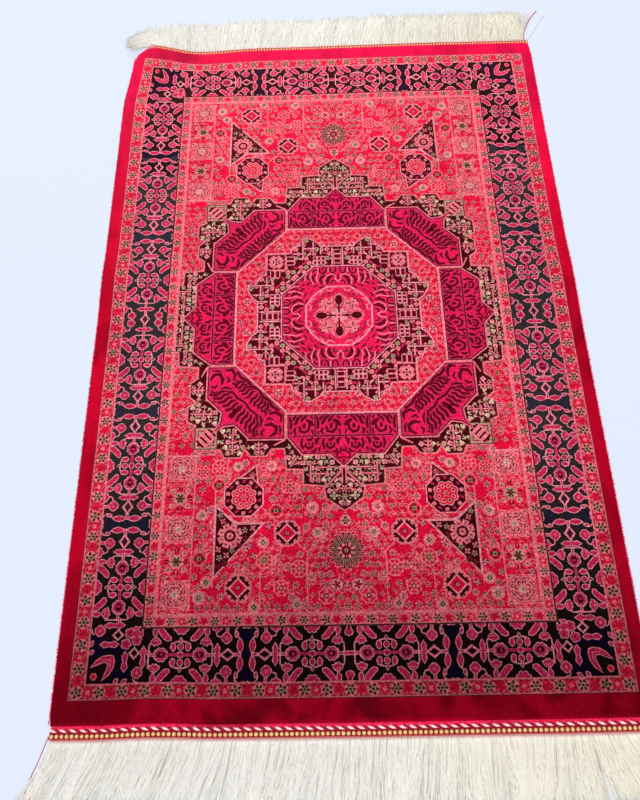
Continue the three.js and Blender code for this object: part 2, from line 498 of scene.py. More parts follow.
def floret(x, y, reach, petals, figure, second, ground, turn=0.0, ragged=False):
    """A small flower that is drawn knot by knot inside a square, an octagon or, ragged, a
    flower's outline."""
    if ragged:
        outline = lobed(x, y, 1.12 * reach, max(4, petals), 0.3, turn)
    elif petals:
        outline = oval(x, y, 2.16 * reach, 2.16 * reach, 8, pi / 8)
    else:
        outline = diamond(x, y, 2 * reach, 2 * reach)
    chart.append((outline, figure, (petals, x, y, reach, turn, second, ground)))


def sow(outline, ground, figure, second, pitch):
    """A ground thickly sown with blossoms on vines, drawn knot by knot at that pitch."""
    chart.append((outline, figure, (sown, 0, 0, pitch, 0, second, ground)))


def four_ways(figures, centre, upright):
    """Figures drawn for one quarter of a motif, mirrored both ways and set at its centre."""
    placed, seen = [], set()
    for outline, *yarns in figures:
        for flip_s, flip_t in ((1, 1), (-1, 1), (1, -1), (-1, -1)):
            points = [(flip_s * s, flip_t * t) for s, t in outline]
            points = moved(across_diagonal(points) if upright else points, centre)
            key = frozenset((round(x, 1), round(y, 1)) for x, y in points)
            if key not in seen:
                seen.add(key)
                placed.append((points, *yarns))
    return placed


def bud_motif():
    return [
        (oval(0, 0, 38, 32), "navy"),
        (oval(0, 68, 56, 56, 6, pi / 6), "navy"),
        pink(blade((22, 6), (23.5, 54), 20.5)),
        (stroke([(23.5, 52), (32, 64), (43, 74)], 4.5, 0.8), "rose"),
        (oval(36, 69, 10, 18, 6, 0.7), "mauve", "rose"),
        (stroke([(43, 74), (40, 86), (26, 96)], 4.5, 0.8), "rose"),
        pink(stem([(21, 0), (42, 0)], 6)),
        (diamond(67.5, 0, 58, 46), "rose"),
        (diamond(67.5, 0, 43, 30), "mauve"),
        (diamond(67.5, 0, 36, 22), "black"),
        pink(stem([(94, 0), (120, 0)], 5)),
        pink(blade((106, -37), (106, 37), 17, "waist")),
        pink(lobed(73, 57, 18, 4, 0.14, pi / 4)),
        (disc(73, 57, 12, 4), "salmon"),
        (disc(73, 57, 5, 6), "maroon"),
        pink(stem([(72, 76), (70, 98)], 6)),
        pink(lobed(108, 97, 18, 6)),
        (stem([(94, 60), (107, 64), (112, 77)], 4.5), "rose"),
        pink(blade((0, 98), (14, 93.5), 9)),
    ]


def rosette_motif():
    return [
        (stem([(0, 0), (52, 0)], 5), "pink", "mauve"),
        pink(oval(0, 0, 21, 19)),
        (disc(0, 0, 7, 6), "maroon"),
        (stroke([(38, 22), (34, 38), (16, 45), (0, 46)], 5.5, 0.9), "rose"),
        pink(oval(27, 27, 15.5, 27)),
        (oval(0, 27.5, 25, 27), "rose"),
        (oval(0, 27.5, 18, 20), "russet"),
        (oval(0, 27.5, 13, 14, 6), "pink"),
        (blade((0, 42), (0, 58), 9), "mauve", "olive"),
        pink(lobed(0, 98, 27, 8, 0.2)),
        (oval(0, 96, 16, 12, 6), "salmon"),
        (oval(0, 96, 7, 6, 6), "maroon"),
        pink(blade((80, 98), (38, 51), 18.5, "bar", 6)),
        (stroke([(70, 91), (58, 78), (46, 62)], 3.4, 0.8), "cerise"),
        (stroke([(100, 0), (93, 14), (80, 22)], 5, 0.6), "rose"),
        (lobed(71, 0, 23.5, 8, 0.18), "mauve", "rose"),
        (oval(71, 0, 32, 24), "umber"),
        (oval(69, 0, 12, 16, 6), "pink"),
        pink(stem([(94, 0), (117, 0)], 5)),
        (stroke([(116, 0), (117, 18), (116, 34), (107, 46)], 5, 0.9), "rose"),
        (
            [
                (74, 40), (77, 49), (84, 56), (93, 58), (102, 55), (109, 47), (108, 38), (101, 38),
                (97, 32), (92, 36), (86, 33), (81, 39),
            ],
            "pink", "rose",
        ),
        (stroke([(82, 47), (92, 51), (101, 47)], 3.4, 0.8), "salmon"),
        pink(stem([(93, 58), (94, 70)], 4)),
        pink(oval(96, 80, 16, 26, 8, 0.3)),
    ]


def palmette_motif():
    """The figures where two halves of the border's run meet, at the rug's own axis."""
    return [
        pink(stem([(0, 0), (22, 0)], 9)),
        pink(blade((0, 100), (0, 60), 28, "drop")),
        (blade((0, 98), (0, 78), 10), "maroon"),
    ]


def crossing_motif():
    return [
        (diamond(0, 0, 56, 44), "rose"),
        (diamond(0, 0, 42, 30), "mauve"),
        (diamond(0, 0, 35, 22), "black"),
        pink(stem([(26, 0), (80, 0)], 5)),
        pink(blade((50, -36), (50, 36), 15.5, "waist")),
        pink(lobed(18, 60, 16, 5, 0.25, pi / 2)),
        (disc(18, 60, 8, 6), "maroon"),
        pink(lobed(52, 97, 17, 6)),
        (stem([(36, 62), (52, 64), (58, 76)], 5), "rose"),
    ]


def corner_motif():
    """The figures of the border's corner, which is the same along both of its runs."""
    half = [
        (
            [
                (91, -68), (91, 26), (66, 4), (40, -12), (-2, -14), (-24, -22), (-22, -52), (34, -58),
            ],
            "navy",
        ),
        pink(blade((-12, -40), (54, -40), 19, "waist")),
        pink(blade((-30, -106), (44, -106), 17, "waist")),
        (stem([(-36, -126), (48, -126)], 4.5), "rose"),
        pink(lobed(60, -88, 18, 4, 0.14, pi / 4)),
        (disc(60, -88, 12, 4), "salmon"),
        pink(lobed(-52, -78, 16.5, 5)),
        (disc(-52, -78, 8, 6), "maroon"),
        (diamond(-8, -72, 46, 42), "rose"),
        (disc(-8, -72, 26, 4), "black"),
        pink(stem([(-8, -92), (-8, -128)], 5)),
        pink(blade((82, -52), (91, -36), 11, "leaf")),
        pink(blade((78, -20), (91, -8), 11, "leaf")),
        (stroke([(78, -74), (88, -80), (91, -94)], 4.5, 0.7), "rose"),
        pink(blade((-88, -98), (-66, -92), 11, "drop")),
    ]
    other = [(across_diagonal(outline), *yarns) for outline, *yarns in half]
    crescent = [
        (80, 36), (62, 14), (40, 1), (16, -2), (2, 2), (-2, 16), (1, 40), (14, 62), (36, 80), (27, 58),
        (19, 38), (21, 21), (38, 19), (58, 27),
    ]
    middle = [
        pink(crescent),
        (stroke([(12, 40), (12, 12), (40, 12)], 3.4, 0.8), "salmon"),
        pink(lobed(-76, -76, 13.5, 5)),
        (disc(68, 68, 20, 6), "scarlet", "salmon"),
        pink(lobed(-40, -40, 17, 5)),
        (disc(-40, -40, 8, 6), "maroon"),
    ]
    return half + other + middle


def stripe(low, high):
    """A stripe round the rug, between an inner and an outer corner."""
    return [(low[0], 0), (high[0], 0), high, (0, high[1]), (0, low[1]), low]


def nearer(corner, by):
    """A stripe's corner moved in towards the star."""
    return (corner[0] - by, corner[1] - by)


def border():
    """The plain band, both guards and the main border, over whatever the field ran on into."""
    line = 6
    inner_guard = nearer(field_edge, -11)
    dark_line = nearer(border_inner, line)
    lay(stripe(field_edge, chart_edge), "salmon")
    lay(stripe(border_inner, chart_edge), "black")
    along_end = [
        (palmette_motif, 0), (rosette_motif, 135.5), (bud_motif, 376), (rosette_motif, 616.5),
    ]
    along_side = [
        (crossing_motif, 0), (rosette_motif, 195), (bud_motif, 432.5), (rosette_motif, 667.5),
        (bud_motif, 904), (rosette_motif, 1142),
    ]
    figures = []
    for motif, place in along_end:
        figures += four_ways(motif(), (place, border_middle[1]), False)
    for motif, place in along_side:
        figures += four_ways(motif(), (border_middle[0], place), True)
    figures += [(moved(outline, border_middle), *yarns) for outline, *yarns in corner_motif()]
    lay_edged(figures)
    lay(stripe(inner_guard, dark_line), "salmon")
    lay(stripe(dark_line, border_inner), "cocoa")
    lay(stripe(nearer(dark_line, 4), dark_line), "salmon")
    lay(stripe(border_outer, nearer(border_outer, -4)), "cocoa")
    lay(stripe(nearer(border_outer, -4), nearer(guard_outer, line)), "madder")
    for low, high, yarns in (
        (inner_guard, nearer(dark_line, 5), ("salmon", "scarlet", "russet")),
        (nearer(border_outer, -5), nearer(guard_outer, line), ("madder", "salmon", "cocoa")),
    ):
        sow(stripe(low, high), *yarns, 22.5)
    lay(stripe(nearer(guard_outer, line), guard_outer), "cocoa")
    lay(stripe(nearer(guard_outer, line), nearer(guard_outer, 2.5)), "salmon")
    lay(stripe(border_outer, nearer(border_outer, -6)), "salmon")
    lay(stripe(guard_outer, chart_edge), "crimson")
    # The plain band gets its patches of painted sheen and shade.
    chart[-1] = (chart[-1][0], "crimson", (nap_and_sheen_band, *unturned, "crimson", "crimson"))
    guard(inner_guard, dark_line, 18.5)
    guard(border_outer, guard_outer, 22.5)


def guard(low, high, reach):
    """The flowers along a narrow guard stripe, and the red patches between them."""
    middle = ((low[0] + high[0]) / 2, (low[1] + high[1]) / 2)
    for run, upright in ((middle[0], False), (middle[1], True)):
        count = round(run / guard_pitch)
        step = run / count
        for i in range(count + 1):
            place = i * step
            spot = (middle[0], place) if upright else (place, middle[1])
            if i < count:
                patch = (middle[0], place + step / 2) if upright else (place + step / 2, middle[1])
                lay(lobed(*patch, 0.86 * reach, 5, 0.35, i), "scarlet")
                lay(lobed(*patch, 0.42 * reach, 4, 0.35, i), "salmon" if i % 2 else "madder")
            floret(*spot, reach, 5 if i % 2 else 6, "cocoa", "olive", "salmon")


def star_outline():
    """The outer edge of the star, from its far tip round to the rug's side."""
    far_half = [
        (0, 862), (70, 812), (78, 762), (158, 756), (160, 694), (228, 690), (232, 640), (236, 604),
        (290, 604), (322, 572), (340, 548), (500, 548), (500, 604), (612, 604),
    ]
    return far_half + across_diagonal(far_half[::-1]) + [(0, 0)]


# The two panels of the crimson ring that stand for all eight, drawn for the quarter.
far_panel = [
    (0, 462), (228, 462), (228, 556), (166, 634), (52, 634), (0, 684),
]
far_corner_panel = [
    (240, 446), (446, 240), (566, 240), (566, 382), (500, 448), (506, 492),
    (534, 534), (492, 506), (448, 500), (382, 566), (240, 566),
]


def both_sides(half):
    """A half outline whose ends lie on the rug's own axis, and its mirror image."""
    return half + [(-x, y) for x, y in half[-2:0:-1]]


def lay_both(figures):
    """Lays figures and their mirror images across the diagonal."""
    for outline, yarn in figures:
        lay(outline, yarn)
        lay(across_diagonal(outline), yarn)


def lay_straps(lines, *widths):
    """Lays straps along the lines, and the same ones again for each further width and yarn."""
    for width, yarn in widths:
        lay_both([(stem(points, width), yarn) for points in lines])


def star_band():
    """The dark band round the crimson ring, with its lobes and leaves."""
    star = star_outline()
    lobes = [oval(345, 595, 118, 90, 6), oval(452, 575, 120, 148, 6)]
    lobes += [across_diagonal(lobe) for lobe in lobes]
    for by, yarn in ((8, "salmon"), (2, "cocoa"), (-2, "umber")):
        for outline in [star] + lobes:
            lay(grown(outline, by), yarn)
    hollow = [grown(far_panel, 6), grown(far_corner_panel, 6)]
    hollow.append(across_diagonal(hollow[0]))
    for column, row, x, y in staggered(23.5, 40, 40):
        if y < x - 10 or not any(inside((x, y), grown(edge, -7)) for edge in [star] + lobes):
            continue
        if not any(inside((x, y), grown(edge, 6)) for edge in hollow):
            lay_both(band_figure(x, y, (column + 2 * row) % 5, 0.9 * column + 0.5 * row))
    straps = [
        [(12, 708), (70, 766)], [(66, 716), (134, 716)], [(100, 722), (100, 752)], [(134, 668), (134, 748)],
        [(6, 766), (44, 790)], [(40, 690), (110, 690)], [(184, 640), (216, 684)], [(166, 664), (200, 676)],
        [(240, 572), (284, 594)],
    ]
    lay_straps(straps, (12, "umber"), (6.5, "salmon"))
    lobe_spines()
    corner_square(562, 558)
    tip_strapwork()


def band_figure(x, y, look, turn):
    """One of the small leaves and flowers that fill the dark band."""
    yarn = ("sand", "salmon", "olive", "rose", "sand")[look]
    across, up = 11.5 * cos(turn), 11.5 * sin(turn)
    if look in (0, 2):
        return [
            (lobed(x, y, 12.5, 3, 0.35, turn), yarn),
            (blade((x - across, y - up), (x + across, y + up), 5, "bar", 8), "salmon"),
        ]
    if look == 3:
        return [(lobed(x, y, 12, 4, 0.28, turn), yarn), (disc(x, y, 6.5, 4), "umber")]
    return [
        (blade((x - across, y - up), (x + across, y + up), 10.5, "drop", 4), yarn),
        (blade((x - up, y + across), (x + up, y - across), 6, "bar", 3), "olive"),
    ]


def lobe_spines():
    """The straps with cross-bars that run up the lobes."""
    figures = []
    for x, low, high in ((345, 578, 630), (452, 524, 630)):
        figures.append([(x, low), (x, high)])
        for share in (0.2, 0.5, 0.8):
            level = low + share * (high - low)
            figures.append([(x - 17, level - 4), (x, level + 3), (x + 17, level - 4)])
    lay_straps(figures, (12, "umber"), (6.2, "salmon"))


def corner_square(x, y):
    """The square at the star's corner, hatched along its diagonal."""
    for half, yarn in ((48, "cocoa"), (44, "olive"), (38, "salmon"), (34, "umber")):
        lay(square(x, y, half), yarn)
    lay(disc(x, y, 70), "salmon")
    for i in range(4):
        offset = -24 + 16 * i
        hatch = [(x + offset - 15, y + offset + 15), (x + offset + 15, y + offset - 15)]
        lay(stem(hatch, 8), "umber")
    for sign in (-1, 1):
        lay(oval(x + sign * 24, y - sign * 24, 16, 16, 6), "olive")


def tip_strapwork():
    """The straps that run down from the star's far tip to the crimson ring."""
    for width, yarn in ((20, "salmon"), (10, "umber")):
        lay(stem([(0, 694), (0, 756)], width), yarn)
    for y, reach, figure in ((778, 18, "salmon"), (810, 16, "olive"), (838, 11, "salmon")):
        floret(0, y, reach, 6, figure, "cocoa", "umber")
    floret(42, 806, 18, 4, "sand", "umber", "umber")


def ring_panel(outline):
    lay_nested(outline, (6, "salmon"), (0, "maroon"), (-5, "mauve"), (-8.5, "cerise"))


def brushed(strokes, at, wider=1.3):
    """Dark brush strokes with a mauve edge; at turns a stroke's own points into the chart's."""
    placed = [([at(*point) for point in points], width, ends) for points, width, ends in strokes]
    for more, yarn in ((5, "mauve"), (0, "maroon")):
        lay_both([(stroke(points, wider * width + more, ends), yarn) for points, width, ends in placed])


# Strokes of the crimson ring, each as its points, width and share of width at its ends.
ring_scroll = [
    ([(18, 36), (20, 62), (36, 80), (56, 74), (62, 50)], 8.5, 0.8),
    ([(40, 62), (42, 50), (38, 38)], 11, 0.5),
    ([(2, 50), (14, 34), (34, 20)], 14, 0.5),
    ([(4, 18), (16, 4)], 9.5, 0.6),
    ([(28, 2), (44, 16), (54, 32)], 9, 0.6),
    ([(48, 1), (66, 14), (74, 36), (84, 42)], 9.5, 0.6),
    ([(72, 2), (84, 14), (86, 26)], 8.5, 0.6),
    ([(74, 90), (82, 74), (74, 58)], 9.5, 0.5),
    ([(98, 64), (94, 40), (100, 6)], 8.5, 0.7),
    ([(94, 88), (94, 76)], 9.5, 0.6),
    ([(4, 90), (8, 66)], 9, 0.6),
    ([(104, 90), (106, 76)], 7, 0.6),
]
upper_scroll = [
    ([(6, 2), (18, 12), (20, 30)], 11, 0.6),
    ([(32, 2), (46, 10), (62, 14)], 9.5, 0.6),
    ([(34, 22), (36, 40), (54, 48), (68, 38), (66, 24)], 8.5, 0.7),
    ([(50, 22), (50, 34)], 8, 0.7),
    ([(20, 48), (28, 62), (44, 64)], 9, 0.6),
    ([(80, 4), (86, 26), (78, 50)], 9, 0.6),
    ([(4, 42), (10, 62)], 9.5, 0.6),
    ([(60, 62), (76, 62)], 8, 0.6),
]
corner_scroll = [
    ([(302, 556), (276, 540), (272, 516), (296, 502), (322, 506)], 13, 0.5),
    ([(258, 548), (256, 524), (262, 506)], 9, 0.4),
    ([(256, 492), (252, 466), (274, 450), (304, 456)], 13, 0.5),
    ([(284, 484), (304, 474), (314, 486)], 10, 0.5),
    ([(330, 554), (334, 534), (320, 524)], 11, 0.5),
    ([(340, 512), (334, 486), (342, 462)], 10, 0.5),
    ([(300, 436), (316, 450), (334, 448)], 10, 0.5),
    ([(366, 556), (374, 536), (372, 516)], 11, 0.4),
    ([(394, 540), (400, 522)], 11, 0.4),
]


def far_panel_scrolls():
    for points in ([(0, 556.5), (206, 556.5)], [(113.5, 468), (113.5, 552)]):
        lay_straps([points], (12, "mauve"), (5.5, "maroon"))
    for start in (6, 118):
        brushed(ring_scroll, lambda s, t, start=start: (start + s, 466 + 0.94 * t), 1.5)
    for start in (4, 92):
        brushed(upper_scroll, lambda s, t, start=start: (start + s * 0.92, 562 + t), 1.5)
    heart = [(0, 646), (14, 652), (26, 645), (26, 634), (12, 624), (0, 618)]
    for by, yarn in ((4, "maroon"), (-3, "cerise")):
        lay_both([(grown(both_sides(heart), by), yarn)])
    lay_both([(blade((0, 676), (0, 656), 14, "drop"), "maroon")])


def corner_panel_strokes():
    """Two fans of curved strokes across the diagonal, a dark line between them and scrolls
    at both ends."""

    def at(s, t):
        return ((s - t) / sqrt(2), (s + t) / sqrt(2))

    brushed(corner_scroll, lambda x, y: (x, y))
    line = [(644, 139), (576, 73), (581, 38), (572, 0)]
    brushed([(line, 9.5, 0.8)], at)
    edge = [(498, 128), (506, 94), (496, 62), (503, 34), (490, 0)]
    brushed([(edge, 11, 0.9)], at)
    fan = []
    for i in range(6):
        out = 21 * i
        fan.append(([
            (591, 0.9 * out), (607, 1.0 * out + 5), (630, 1.04 * out + 1),
            (650, 1.2 * out + 7), (664 - 0.34 * out, 1.3 * out + 3),
        ], 11, 0.6))
        if i < 5:
            out = 19 * i + 9.5
            fan.append(([
                (507, 0.8 * out), (522, 0.94 * out + 5), (542, 0.98 * out),
                (561 - 0.12 * out, 1.16 * out + 5),
            ], 10.6, 0.6))
    brushed(fan, at)
    lay(oval(*at(628, -4), 22, 26, 8, 0.6), "umber")


def crimson_ring():
    ring_panel(both_sides(far_panel))
    ring_panel(across_diagonal(both_sides(far_panel)))
    ring_panel(far_corner_panel)
    far_panel_scrolls()
    corner_panel_strokes()


def pink_ring():
    """The rose ground inside the crimson ring, sown with small flowers."""
    edge = [(-20, -20), (456, -20), (456, 226), (226, 456), (-20, 456)]
    lay(grown(edge, 5), "rose")
    sow(grown(edge, -3), "scarlet", "salmon", "russet", 33)
    looks = (
        (6, "scarlet", "russet", "salmon"), (4, "russet", "salmon", "rose"),
        (5, "salmon", "maroon", "pink"), (8, "russet", "scarlet", "salmon"),
    )
    for column, row, x, y in staggered(48, 10, 10, 0.6):
        if x + y <= 652 and max(x, y) <= 440 and min(x, y) >= 10:
            floret(x, y, 16.5, *looks[(2 * column + row) % 4], 0.5 * column)


def inner_star_outline():
    far_half = [
        (0, 358), (78, 358), (94, 380), (132, 402), (158, 400), (160, 368),
        (200, 352), (214, 322), (324, 322),
    ]
    return far_half + across_diagonal(far_half[-2::-1])


def inner_star():
    """The dark star within the rose ring, full of round flowers, straps and windows."""
    outline = inner_star_outline() + [(0, 0)]
    lay_nested(outline, (6, "rose"), (0, "wine"))
    for column, row, x, y in staggered(23.8, 18, 18):
        look, turn = (column + 2 * row) % 6, 0.7 * column + 0.4 * row
        if y < x or look == 5 or not inside((x, y), grown(outline, -4)):
            continue
        yarn = ("salmon", "rose", "olive", "salmon", "pink")[look]
        across, up = 12.5 * cos(turn), 12.5 * sin(turn)
        if look in (1, 4):
            lay_both([(blade((x - across, y - up), (x + across, y + up), 9.5, "bar", 4), yarn)])
        else:
            lay_both([(lobed(x, y, 12.2, 4, 0.25, turn), yarn), (disc(x, y, 6.5, 4), "russet")])
    straps = [
        [(158, 296), (158, 396)], [(100, 350), (154, 350)], [(110, 320), (110, 384)],
        [(158, 322), (200, 322)], [(24, 262), (24, 352)], [(76, 318), (76, 352)],
    ]
    lay_straps(straps, (13, "wine"), (6.5, "rose"))
    windows(56, 262, 112, 306, 3, 2)
    windows(196, 262, 236, 308, 1, 2)
    windows(-18, 268, 18, 344, 1, 3)
    x = y = 280
    for reach, yarn in ((44, "salmon"), (39, "maroon")):
        lay(square(x, y, reach), yarn)
    lay(lobed(x, y, 36, 8, 0.3), "salmon")
    lay(lobed(x, y, 18, 6, 0.2), "russet")
    for tip in four_corners(x, y, 27):
        lay(stem([(x, y), tip], 6), "rose")
        lay(disc(*tip, 9, 4), "maroon")
    lay(disc(x, y, 8, 6), "maroon")


def windows(low_x, low_y, high_x, high_y, columns, rows):
    """A strapped panel with small dark windows."""
    figures = [(panel(low_x, low_y, high_x, high_y), "rose")]
    pitch_x, pitch_y = (high_x - low_x) / columns, (high_y - low_y) / rows
    for column in range(columns):
        for row in range(rows):
            x, y = low_x + column * pitch_x, low_y + row * pitch_y
            pane = panel(x + 3.5, y + 3.5, x + pitch_x - 3.5, y + pitch_y - 3.5)
            figures.append((pane, "maroon"))
    lay_both(figures)


# Strokes of the inner ring, written like the others.
inner_scroll = [
    ([(10, 246), (12, 226), (24, 216), (34, 226), (36, 246)], 8.8, 0.9),
    ([(22, 206), (40, 194), (50, 174), (47, 156)], 17.5, 0.4),
    ([(0, 208), (0, 184)], 14, 0.5),
    ([(10, 172), (20, 179), (30, 171), (28, 158)], 7.8, 0.7),
    ([(52, 246), (54, 225), (68, 214), (82, 222), (84, 242)], 8.8, 0.9),
    ([(68, 246), (68, 230)], 12, 0.5),
    ([(56, 205), (72, 199), (81, 180), (74, 158)], 14.5, 0.5),
    ([(64, 150), (74, 142), (86, 140)], 8, 0.6),
    ([(98, 213), (112, 201), (115, 183), (105, 169)], 15, 0.5),
    ([(96, 236), (110, 230), (122, 216)], 9, 0.7),
    ([(128, 213), (139, 201), (137, 187), (126, 181)], 9.5, 0.6),
    ([(94, 154), (104, 151), (112, 140)], 9, 0.6),
    ([(120, 168), (132, 166), (140, 154)], 11, 0.6),
    ([(147, 193), (158, 187), (165, 175)], 11, 0.6),
    ([(112, 127), (122, 124)], 8, 0.6),
    ([(152, 164), (159, 159)], 12, 0.6),
]
inner_veins = [
    [(0, 170), (13, 186), (12, 204), (30, 211), (52, 204), (63, 184), (59, 158)],
    [(43, 246), (44, 222)], [(90, 246), (92, 216), (98, 190), (91, 168)],
    [(119, 226), (126, 200), (120, 181), (110, 156)], [(140, 216), (150, 202), (150, 178)],
]


def inner_ring():
    edge = [(-20, -20), (252, -20), (252, 110), (110, 252), (-20, 252)]
    lay_nested(edge, (5, "rose"), (0, "maroon"), (-4, "mauve"), (-7, "cerise"))
    brushed(inner_scroll, lambda x, y: (x, y), 1.0)
    lay_straps(inner_veins, (4.2, "rose"))


def centre_rose():
    """The rounded octagon in the middle, with its cross of four dark drops."""
    edge = [
        (-20, -20), (146, -20), (146, 50), (118, 92), (92, 118), (50, 146), (-20, 146),
    ]
    lay_nested(edge, (4, "rose"), (-4, "cerise"))
    lay(lobed(0, 0, 112, 8, 0.16, pi / 8), "salmon")
    lay(lobed(0, 0, 46, 8, 0.2, pi / 8), "rose")
    lay_both([
        (stroke([(24, 136), (34, 124), (50, 124), (58, 134)], 8.5, 0.5), "salmon"),
        (stroke([(66, 126), (78, 116), (86, 104)], 7, 0.5), "salmon"),
        (stroke([(30, 118), (46, 110), (46, 98)], 9.5, 0.5), "russet"),
        (stroke([(56, 110), (70, 104), (78, 92)], 7.5, 0.5), "russet"),
        (oval(0, 72, 52, 92), "cerise"),
        (oval(0, 72, 43, 83), "salmon"),
        (oval(0, 78, 36, 52), "wine"),
        (stem([(0, 12), (0, 56)], 8), "wine"),
        (stem([(4, 36), (14, 48), (12, 56)], 4), "maroon"),
        (stroke([(36, 86), (46, 82), (48, 70)], 8, 0.6), "cerise"),
        (stroke([(30, 62), (44, 58), (56, 64)], 6, 0.6), "maroon"),
        (stroke([(22, 28), (36, 24), (42, 36)], 6, 0.6), "cerise"),
        (stroke([(62, 92), (70, 82), (84, 82)], 6.5, 0.5), "maroon"),
    ])
    lay(disc(66, 66, 20), "rose")
    lay(disc(66, 66, 10, 6), "scarlet")
    lay(disc(0, 0, 18, 4), "scarlet")


def medallion():
    star_band()
    crimson_ring()
    pink_ring()
    inner_star()
    inner_ring()
    centre_rose()


def star_eye(x, y):
    """A square panel of dotted rings round a small pale flower."""
    lay(square(x, y, 53), "salmon")
    for reach, yarn in ((50.5, "scarlet"), (47.5, "salmon")):
        lay(octagon(x, y, reach), yarn)
    hooks = (
        ((17, 0.0), (26, 0.1), (30, 0.42), (24, 0.6)),
        ((34, 0.05), (41, 0.22), (42, 0.5)),
        ((46, 0.62), (36, 0.66)),
    )
    for i in range(8):
        for k, hook in enumerate(hooks):
            turned = [(ring, i * pi / 4 + angle) for ring, angle in hook]
            points = [(x + ring * cos(angle), y + ring * sin(angle)) for ring, angle in turned]
            lay(stroke(points, 6.2, 0.6), "scarlet" if k == 2 and i % 2 else "russet")
    floret(x, y, 14, 6, "sand", "cocoa", "salmon")
    for spot in four_corners(x, y, 46):
        lay(disc(*spot, 9, 4), "russet")


def cross_flower(x, y):
    """A square panel with a dark flower, four pale leaves and dark dashes."""
    sow(square(x, y, 50), "scarlet", "salmon", "maroon", 25)
    lay(lobed(x, y, 29, 8, 0.2), "salmon")
    floret(x, y, 21, 6, "cocoa", "russet", "olive")
    for spot, turn in zip(four_corners(x, y, 30), (0.8, -0.8, -0.8, 0.8)):
        lay(disc(*spot, 26, 6), "salmon")
        lay(oval(*spot, 17, 12, 6, turn), "olive")
        lay(oval(*spot, 7, 6, 6), "maroon")
    for across, up in ((1, 0), (0, 1), (-1, 0), (0, -1)):
        for side in (-6, 6):
            dash = [(x + across * out + up * side, y + up * out + across * side) for out in (30, 47)]
            lay(stem(dash, 5), "maroon")


def ringed_diamond(x, y):
    """A pink diamond in a dark toothed ring."""
    lay(octagon(x, y, 51), "salmon")
    lay(octagon(x, y, 45), "umber")
    for angle, spot in around(x, y, 45, 8):
        lay(lobed(*spot, 8.5, 4, 0.3, angle), "salmon")
    for _, spot in around(x, y, 46.5, 8, pi / 8):
        lay(disc(*spot, 9, 4), "salmon")
    lay(disc(x, y, 78, 4), "rose")
    lay(disc(x, y, 62, 4), "scarlet")
    lay(disc(x, y, 26), "maroon")
    lay(disc(x, y, 16), "salmon")
    lay(disc(x, y, 9, 4), "maroon")


def flower_wheel(x, y):
    """A pink flower of eight rounds in a dark ring, with a tail that points at the star."""
    tail = [(x + 22, y - 70), (x - 46, y - 124), (x - 56, y - 30)]
    lay_nested(tail, (6, "rose"), (-1, "maroon"), (-9, "russet"))
    floret(x - 34, y - 88, 14, 0, "salmon", "maroon", "maroon")
    lay(octagon(x, y, 79), "rose")
    lay(octagon(x, y, 74), "umber")
    for i, (angle, spot) in enumerate(around(x, y, 64, 14, pi / 14)):
        if i % 2:
            lay(lobed(*spot, 9.2, 4, 0.3, angle), "salmon")
        else:
            lay(blade((spot[0] - 8, spot[1] - 6), (spot[0] + 8, spot[1] + 6), 10), "pink")
    lay(lobed(x, y, 52, 8, 0.16), "rose")
    lay(lobed(x, y, 47, 8, 0.16), "scarlet")
    for _, spot in around(x, y, 31, 8, pi / 8):
        lay(disc(*spot, 21, 6), "salmon")
        lay(disc(*spot, 9, 6), "maroon")
    floret(x, y, 17, 6, "salmon", "maroon", "scarlet")


corner_triangle_edge = [(506, 848), (506, 1105), (328, 914), (432, 914)]


def corner_triangle():
    """The dark three-sided panel with a flower of eight squares."""
    lay_nested(corner_triangle_edge, (11, "rose"), (0, "umber"))
    for i, spot in enumerate((
        (490, 876), (478, 900), (492, 1072), (488, 1040), (462, 1030), (468, 1058),
        (392, 936), (362, 928), (396, 966), (440, 1012), (494, 1008), (414, 990),
    )):
        figure = ("olive", "salmon", "russet")[i % 3]
        floret(*spot, 13.5, (5, 4, 3)[i % 3], figure, "umber", "umber", i)
    x, y = 450, 957
    for angle, spot in around(x, y, 35, 8, pi / 8):
        lay(oval(*spot, 36, 36, 4, angle + pi / 4), "salmon")
        lay(oval(*spot, 10, 10, 4, angle), "russet")
    lay(disc(x, y, 34), "russet")
    lay(disc(x, y, 28), "salmon")
    lay(disc(x, y, 12, 4), "russet")


def great_rosette(x, y):
    """The dark flower of many petals on the rug's own axis."""
    lay(lobed(x, y, 74, 16, 0.14), "salmon")
    lay(lobed(x, y, 69, 16, 0.14), "cocoa")
    for count, ring, wide, yarn in (
        (22, 57, 10.5, "salmon"), (22, 57, 5, "russet"), (16, 40, 10.5, "olive"),
        (16, 40, 4.5, "maroon"), (9, 25, 11, "salmon"),
    ):
        ends = [around(x, y, ring + out, count, pi / count) for out in (-9, 9)]
        for (_, start), (_, end) in zip(*ends):
            lay(blade(start, end, wide, "bar"), yarn)
    floret(x, y, 18, 8, "russet", "olive", "maroon")


# Places on the field that larger motifs keep clear: middle and reach.
field_motifs = [
    (star_eye, 652, 685, 60), (cross_flower, 652, 807, 60),
    (star_eye, 652, 929, 60), (cross_flower, 652, 1051, 60),
    (star_eye, 652, 1173, 60),
    (ringed_diamond, 413, 1152, 56), (ringed_diamond, 228, 950, 56),
    (great_rosette, 0, 1020, 82), (flower_wheel, 400, 805, 90),
]

